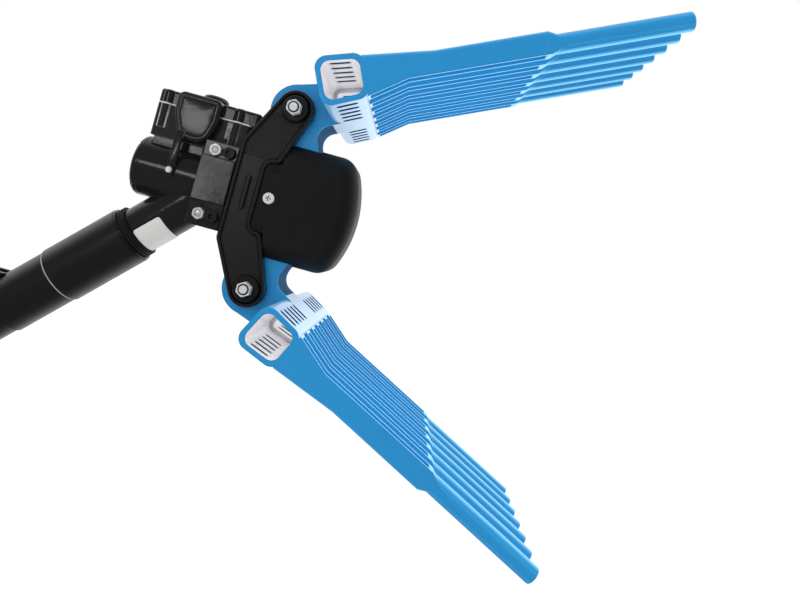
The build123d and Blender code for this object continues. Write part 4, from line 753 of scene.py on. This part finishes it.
def comb_blue(name, side, rest):
    """Glossy moulded blue, with a painted glow in the tooth channels, on the inner tooth edges, arm rims and
    slotted base face, painted shade on the arms' narrow faces, and painted pale light inside the tunnel with
    painted shade in its corners.
    """
    material, tree, shader = new_material(name, ior=1.5, emission_strength=1.0)
    tint, chosen = colours(), sizes()
    grain = grained(tree, fine=0.0012, wave=0.045, share=0.7)
    edges = rounded(tree, radius=chosen.comb_edge, wear=0.0012)
    scratches = shared(tree, scuffs, {"Size": 0.005, "Amount": 0.12})["Mask"]
    place = from_comb(tree, side, rest)
    half = chosen.tunnel_length / 2
    tunnel = shared(tree, tunnel_inside, {
        "Vector": place, "Middle": chosen.tunnel_middle,
        "Half length": half + tunnel_paint_reach, "Half width": comb_half - tunnel_paint_end,
        "Outer": chosen.tunnel_outer + tunnel_paint_reach, "Outer slope": -tan(chosen.outer_slope),
        "Inner": -chosen.tunnel_inner - tunnel_paint_reach, "Inner slope": tan(chosen.inner_slope)})["Mask"]
    zones = shared(tree, comb_zones, {
        "Vector": place, "Normal": from_comb(tree, side, rest, "Normal"), "Slot middle": chosen.tunnel_middle,
        "Base start": chosen.tunnel_middle - half - base_margin,
        "Base end": chosen.tunnel_middle + half + base_margin, "Half width": comb_half - tooth_side})
    # Painted shade: the tunnel's corners are painted darker where occlusion is high
    corner = ramp(tree, shared(tree, hollows, {"Distance": 0.018})["Hollow"], start=0.35, end=0.80)
    lining = mix(tree, corner, tint.lining, tint.lining_shade)
    lining_light = mix(tree, corner, tint.lining_light, black)
    flow = mix(tree, grain["Cloud"], tint.comb, tint.comb_shade)
    # Painted shade on the arms' narrow faces
    shaded = mix(tree, zones["Arm edges"], flow, tint.comb_deep)
    shaded = mix(tree, zones["Slots"], shaded, tint.slot_shade)
    # Painted light: the emitted glow of the tooth channels, inner tooth edges, arm rims and slotted base face
    lit = mix(tree, zones["Channels"], black, tint.channel_light)
    for zone, light in (("Tooth edges", tint.tooth_light), ("Arm rim", tint.tooth_light),
                        ("Base face", tint.base_light)):
        lit = mix(tree, zones[zone], lit, light)
    # Painted light: the tunnel glows pale
    tree.links.new(mix(tree, tunnel, lit, lining_light), shader["Emission Color"])
    dulled = calc(tree, "MAXIMUM", scratches, zones["Arm edges"])
    return cover(material, mix(tree, tunnel, shaded, lining), dulled, grain["Height"], edges["Normal"],
                 rough=(0.20, 0.80), depth=0.00004)


def bracket_black():
    """Satin moulded bracket with painted highlights on its beads and on the tops of the woven panel on its
    upper arm, and painted shade in its grooves.
    """
    material, tree, _ = new_material("bracket_black")
    tint, chosen = colours(), sizes()
    grain = grained(tree, fine=chosen.grain_size, wave=0.02, share=0.35)
    edges = rounded(tree, radius=chosen.sheet_edge, wear=0.0009)
    near = shared(tree, hollows, {"Distance": 0.0022})
    weave = shared(tree, woven_panel, {
        "Vector": from_head(tree), "Pitch": chosen.knurl_pitch, "Low": chosen.panel_low,
        "High": chosen.panel_high, "Outer": bracket_face - panel_depth})["Height"]
    # Painted highlight on the weave's tops and the beads' ridges
    lit = calc(tree, "MAXIMUM", weave, ramp(tree, near["Ridge"], start=0.55, end=0.85))
    tone = mix(tree, lit, tint.bracket, tint.bracket_light)
    # Painted shade in the grooves, which also roughens them
    groove = ramp(tree, near["Hollow"], start=0.10, end=0.40)
    grain_normal = relief(tree, grain["Height"], edges["Normal"], depth=0.00008)
    tone = mix(tree, groove, tone, tint.hollow)
    return cover(material, tone, groove, weave, grain_normal, rough=(0.34, 0.90), depth=0.0005)


def guard_black():
    """Matt spark-eroded grain of the drive guard."""
    material, tree, _ = new_material("guard_black", specular_ior_level=0.35)
    grain = grained(tree, fine=sizes().grain_size, wave=0.03, share=0.25)
    edges = rounded(tree, radius=0.002, wear=0.001)
    tone = mix(tree, grain["Cloud"], colours().guard, colours().bracket)
    return cover_grained(material, tone, grain, edges, rough=(0.42, 0.55), depth=0.00012)


def casting_black(name, edge_light, pad_wear_and_painted_highlight, pad_face=1.0, pad_fall=(0.019, 0.006), plain=0.14):
    """Lacquered casting: wavy gloss, edges in a second colour, and a mottled, scratched face at the given
    half width that is lighter towards the bottom and towards the pole. On the clamp plates edges and face are
    worn grey; on the valve they are pale grey painted highlights.
    """
    material, tree, _ = new_material(name)
    grain = grained(tree, fine=0.0022, wave=0.012, share=0.85)
    mottle = grained(tree, fine=0.0011, wave=0.0055, share=0.55)
    edges = rounded(tree, radius=sizes().casting_edge, wear=0.0008)
    scratches = shared(tree, scuffs, {"Size": 0.0013, "Amount": 0.45})["Mask"]
    place = parts(tree, from_head(tree))
    proud = calc(tree, "COMPARE", calc(tree, "ABSOLUTE", place["Y"]), pad_face, pad_tolerance)
    level = product(tree, ramp(tree, place["Z"], *pad_fall, low=0.20, high=1.45),
                    ramp(tree, place["X"], *pad_fade, low=1.0, high=0.25))
    cloudy = ramp(tree, mottle["Height"], start=0.36, end=0.64, low=0.30, high=1.15)
    scored = calc(tree, "ADD", product(tree, level, cloudy), scratches)
    greyed = calc(tree, "MULTIPLY", proud, scored, clamp=True)
    # On the valve both colours are pale grey: a painted highlight on its edges and boss face
    body = mix(tree, greyed, colours().casting, pad_wear_and_painted_highlight)
    tone = mix(tree, edges["Wear and highlight"], body, edge_light)
    return cover(material, tone, greyed, grain["Height"], edges["Normal"],
                 rough=(plain, 0.50), depth=0.00025)


def sleeve_black():
    """Satin anodised sleeve with faint turning lines."""
    material, tree, _ = new_material("sleeve_black", ior=1.65)
    lines = lined(tree, along_pole(tree, stretch=0.04), pitch=0.0007)
    edges = rounded(tree, radius=0.0006, wear=0.0008)
    tone = mix(tree, edges["Wear and highlight"], colours().sleeve, colours().casting_wear)
    return cover(material, tone, lines["Tone"], lines["Height"], edges["Normal"],
                 rough=(0.26, 0.40), depth=0.00002)


def black_oxide():
    """Oiled black oxide of cap screws and washers, with rims painted grey for rubbed wear and a painted
    highlight.
    """
    material, tree, _ = new_material("black_oxide", metallic=0.2)
    grain = grained(tree, fine=0.0006, wave=0.006, share=0.4)
    edges = rounded(tree, radius=sizes().metal_edge, wear=0.0005)
    # Rims painted lighter: rubbed wear and a painted highlight
    rim_wear_and_highlight = ramp(tree, shared(tree, hollows, {"Distance": 0.0012})["Ridge"], start=0.50, end=0.75)
    tone = mix(tree, rim_wear_and_highlight, colours().black_oxide, colours().casting_wear)
    return cover_grained(material, tone, grain, edges, rough=(0.28, 0.45), depth=0.00006)


def bright_zinc(name, shine):
    """Zinc-plated bolts and nuts with cloudy brightness and painted shade in their recesses."""
    material, tree, _ = new_material(name, metallic=shine)
    grain = grained(tree, fine=0.0005, wave=0.003, share=0.5)
    edges = rounded(tree, radius=sizes().metal_edge, wear=0.0005)
    # Painted shade in the recesses
    painted_recess_shade = ramp(tree, shared(tree, hollows, {"Distance": 0.0012})["Hollow"], start=0.30, end=0.60)
    tone = mix(tree, grain["Cloud"], colours().zinc, colours().steel)
    tone = mix(tree, painted_recess_shade, tone, colours().hollow)
    return cover_grained(material, tone, grain, edges, rough=(0.20, 0.45), depth=0.00006)


def turned_metal(name, first, second):
    """Turned bar with fine lathe lines across its length."""
    material, tree, _ = new_material(name, metallic=1.0)
    lines = lined(tree, mapped(tree, object_place(tree), scale=(1, 0.03, 0.03)), pitch=0.0005)
    edges = rounded(tree, radius=sizes().metal_edge, wear=0.0005)
    tone = mix(tree, lines["Tone"], first, second)
    return cover(material, tone, lines["Tone"], lines["Height"], edges["Normal"],
                 rough=(0.18, 0.36), depth=0.00003)


def label_silver():
    """Bare silver plate, finely brushed along its length."""
    material, tree, _ = new_material("label_silver", metallic=0.15)
    lines = lined(tree, along_pole(tree, stretch=0.05), pitch=0.0006)
    edges = rounded(tree, radius=0.0002, wear=0.0004)
    tone = mix(tree, lines["Tone"], colours().label, colours().label_shade)
    return cover(material, tone, lines["Height"], lines["Height"], edges["Normal"],
                 rough=(0.35, 0.50), depth=0.00002)


def ring_pale(name, first, second):
    """Pale moulded ring or gasket."""
    material, tree, _ = new_material(name)
    grain = grained(tree, fine=0.0006, wave=0.008, share=0.4)
    edges = rounded(tree, radius=0.0003, wear=0.0004)
    tone = mix(tree, grain["Cloud"], first, second)
    return cover_grained(material, tone, grain, edges, rough=(0.4, 0.55), depth=0.00004)


def seal_rubber():
    """Dusty seal rubber."""
    material, tree, _ = new_material("seal_rubber", ior=1.45)
    grain = grained(tree, fine=0.0005, wave=0.006, share=0.3)
    edges = rounded(tree, radius=0.0003, wear=0.0005)
    tone = mix(tree, grain["Cloud"], colours().rubber, colours().bracket)
    return cover_grained(material, tone, grain, edges, rough=(0.55, 0.75), depth=0.00008)


class DressCombs(bpy.types.Operator):
    """Gives both combs their glossy blue moulding"""

    bl_idname = "harvester.combs"
    bl_label = "Combs"

    def execute(self, context):
        dress(comb_blue("upper_comb_blue", 1, sizes().upper_rest), "upper_comb")
        dress(comb_blue("lower_comb_blue", -1, sizes().lower_rest), "lower_comb")
        return {"FINISHED"}


class DressBrackets(bpy.types.Operator):
    """Gives the side brackets their satin black and woven panel"""

    bl_idname = "harvester.brackets"
    bl_label = "Brackets"

    def execute(self, context):
        dress(bracket_black(), "side_plate_near", "side_plate_far")
        return {"FINISHED"}


class DressGuard(bpy.types.Operator):
    """Gives the drive guard and the silencer their matt grain"""

    bl_idname = "harvester.guard"
    bl_label = "Guard"

    def execute(self, context):
        dress(guard_black(), "guard", "exhaust_silencer")
        return {"FINISHED"}


class DressCastings(bpy.types.Operator):
    """Gives the cylinder, clamp plates and valve their black lacquer"""

    bl_idname = "harvester.castings"
    bl_label = "Castings"

    def execute(self, context):
        tint = colours()
        dress(casting_black("casting_black", tint.bracket, tint.casting_wear),
              "cylinder_housing", "rear_cap")
        # Painted highlight: pale grey on the valve's edges and on the valve body's boss face
        light = tint.edge_light
        lacquer = casting_black("valve_black", light, tint.casting_wear)
        dress(lacquer, "valve_lid", "exhaust_cover")
        dress(casting_black("valve_body_black", light, light, sizes().boss_face, boss_fade, boss_plain),
              "valve_body")
        exhaust_hood(lacquer)
        dress(casting_black("clamp_black", tint.casting_wear, tint.pad_wear, clamp_face),
              "clamp_plate_near", "clamp_plate_far")
        return {"FINISHED"}


class DressFasteners(bpy.types.Operator):
    """Gives bolts, nuts, screws and washers their plating"""

    bl_idname = "harvester.fasteners"
    bl_label = "Fasteners"

    def execute(self, context):
        zinc = bright_zinc("bright_zinc", shine=0.15)
        dull = bright_zinc("dull_zinc", shine=0.65)
        oxide = black_oxide()
        dress(zinc, "flange_bolts", "flange_nuts", "guard_screws", "pivot_bolts", "pivot_nuts",
              "lever_pin", "pin_clips", "plunger_spring", "piston_nut")
        pivot_nut_pair(zinc, oxide)
        flange_bolt_pair(dull)
        dress(dull, "cover_screw")
        dress(oxide, "flange_screws", "pivot_washers", "rear_cap_screws", "valve_lid_screws")
        return {"FINISHED"}


class DressPole(bpy.types.Operator):
    """Gives the sleeves, grip, lever, ring and seals of the pole their finish"""

    bl_idname = "harvester.pole"
    bl_label = "Pole"

    def execute(self, context):
        tint = colours()
        dress(sleeve_black(), "union_nut", "handle_body", "grip_tube", "hand_lever")
        dress(ring_pale("ring_pale", tint.ring, tint.edge_light), "union_washer")
        dress(ring_pale("gasket_pale", tint.zinc, tint.edge_light), "valve_gasket")
        dress(seal_rubber(), "neck_seal", "piston_seals", "rod_seal", "rear_cap_seal", "spool_seals",
              "plunger_seal", "inlet_seal")
        return {"FINISHED"}


class DressLabel(bpy.types.Operator):
    """Gives the bare plate on the neck its brushed silver"""

    bl_idname = "harvester.label"
    bl_label = "Label plate"

    def execute(self, context):
        dress(label_silver(), "label_plate")
        return {"FINISHED"}


class DressDrive(bpy.types.Operator):
    """Gives the drive and valve parts their turned metals"""

    bl_idname = "harvester.drive"
    bl_label = "Drive parts"

    def execute(self, context):
        tint = colours()
        dress(turned_metal("dark_steel", tint.pad_wear, tint.casting_wear), "retaining_ring")
        steel = turned_metal("turned_steel", tint.steel, tint.zinc)
        dress(steel, "pivot_sleeves", "drive_pins", "rod_pin", "piston_rod", "plunger", "crosshead")
        spring_coil(steel)
        dress(turned_metal("turned_bronze", tint.bronze, tint.bronze),
              "upper_bushes", "lower_bushes", "rod_guide")
        dress(turned_metal("turned_aluminium", tint.aluminium, tint.steel),
              "piston", "valve_spool", "spool_plugs", "valve_cartridge", "inlet_plug")
        return {"FINISHED"}


def studio_world(sky):
    """An even white surround that is dimmer behind the camera for reflections."""
    world = bpy.data.worlds.new("studio")
    bpy.context.scene.world = world
    world.use_nodes = True
    tree = world.node_tree
    tree.nodes.clear()
    rays = add(tree, "LightPath").outputs
    facing = parts(tree, add(tree, "TexCoord").outputs["Generated"])["Y"]
    dimmed = ramp(tree, facing, start=-0.40, end=0.25, low=mirror_dim, interpolation_type="SMOOTHSTEP")
    even, mirrored, plain = (
        add(tree, "Background", {"Color": white, "Strength": strength}).outputs[0]
        for strength in (sky, dimmed, 1.0))
    glossy = add(tree, "MixShader", {0: rays["Is Glossy Ray"], 1: even, 2: mirrored}).outputs[0]
    through = calc(tree, "MAXIMUM", rays["Is Camera Ray"], rays["Is Transmission Ray"])
    shown = add(tree, "MixShader", {0: through, 1: glossy, 2: plain}).outputs[0]
    add(tree, "OutputWorld", {"Surface": shown})


def studio_floor(level):
    """A pale floor that meets the white surround, keeps the shadow, and is dim in reflections near by."""
    shape = bmesh.new()
    bmesh.ops.create_grid(shape, x_segments=floor_squares, y_segments=floor_squares, size=floor_size)
    bmesh.ops.translate(shape, verts=shape.verts, vec=(head.x, 0, level))
    mesh = new_mesh("floor", shape)
    floor = new_object("floor", mesh)
    material, tree, shader = new_material("floor_pale", roughness=0.9, specular_ior_level=0.0)
    shader["Base Color"].default_value = (floor_grey, floor_grey, floor_grey, 1)
    shader["Emission Color"].default_value = white
    rays = add(tree, "LightPath").outputs
    tree.links.new(calc(tree, "MULTIPLY", rays["Is Camera Ray"], floor_lift), shader["Emission Strength"])
    depth = parts(tree, object_place(tree))["Y"]
    mirrored = ramp(tree, depth, start=-0.10, end=0.50, low=mirror_dim, interpolation_type="SMOOTHSTEP")
    reflected = add(tree, "Emission", {"Strength": mirrored}).outputs[0]
    body = tree.nodes["Principled BSDF"].outputs[0]
    shown = add(tree, "MixShader", {0: rays["Is Glossy Ray"], 1: body, 2: reflected}).outputs[0]
    tree.links.new(shown, tree.nodes["Material Output"].inputs["Surface"])
    mesh.materials.append(material)


def soft_lamp(name, place, size, power, in_gloss):
    """A lamp panel aimed at the head, which may be kept out of reflections."""
    lamp = bpy.data.lights.new(name, "AREA")
    lamp.shape = "RECTANGLE"
    lamp.size, lamp.size_y = size
    lamp.energy = power
    made = new_object(name, lamp)
    made.location = head + place
    made.rotation_euler = (-place).to_track_quat("-Z", "Y").to_euler()
    made.visible_glossy = in_gloss


class SetStage(bpy.types.Operator):
    """Sets the floor, the light and the camera"""

    bl_idname = "harvester.stage"
    bl_label = "Stage"

    def execute(self, context):
        studio = context.scene.harvester_studio
        context.scene.view_settings.view_transform = "Standard"
        studio_world(studio.sky)
        studio_floor(cad_box[0].z - studio.floor_drop)
        soft_lamp("top_lamp", top_place, top_size, studio.top, False)
        soft_lamp("front_lamp", front_place, front_size, studio.front, True)
        camera = new_object("camera", bpy.data.cameras.new("camera"))
        context.scene.camera = camera
        camera.data.lens = studio.lens
        camera.data.shift_x, camera.data.shift_y = camera_shift
        turn = cos(studio.roll), sin(studio.roll)
        level = Matrix(((turn[0], -turn[1], 0), (0, 0, -1), (turn[1], turn[0], 0)))
        place = Matrix.Translation((head.x + camera_along, -studio.distance, head.z + camera_level))
        camera.matrix_world = place @ level.to_4x4()
        return {"FINISHED"}


operators = (DressCombs, DressBrackets, DressGuard, DressCastings, DressFasteners, DressPole, DressLabel,
             DressDrive, SetStage)


class HarvesterPanel(bpy.types.Panel):
    """Lists the harvester's pieces and the stage"""

    bl_idname = "VIEW3D_PT_harvester"
    bl_label = "Olive harvester"
    bl_space_type = "VIEW_3D"
    bl_region_type = "UI"
    bl_category = "Harvester"

    def draw(self, context):
        for operator in operators:
            self.layout.operator(operator.bl_idname)
        for name, group in settings_groups:
            values = getattr(context.scene, name)
            column = self.layout.column()
            for prop in group.__annotations__:
                column.prop(values, prop)


def register():
    for name, group in settings_groups:
        bpy.utils.register_class(group)
        setattr(bpy.types.Scene, name, PointerProperty(type=group))
    for kind in (*operators, HarvesterPanel):
        bpy.utils.register_class(kind)


def unregister():
    for kind in (HarvesterPanel, *reversed(operators)):
        bpy.utils.unregister_class(kind)
    for name, group in reversed(settings_groups):
        delattr(bpy.types.Scene, name)
        bpy.utils.unregister_class(group)


def main():
    register()
    bpy.ops.harvester.combs()
    bpy.ops.harvester.brackets()
    bpy.ops.harvester.guard()
    bpy.ops.harvester.castings()
    bpy.ops.harvester.fasteners()
    bpy.ops.harvester.pole()
    bpy.ops.harvester.label()
    bpy.ops.harvester.drive()
    bpy.ops.harvester.stage()


if __name__ == "__main__":
    main()
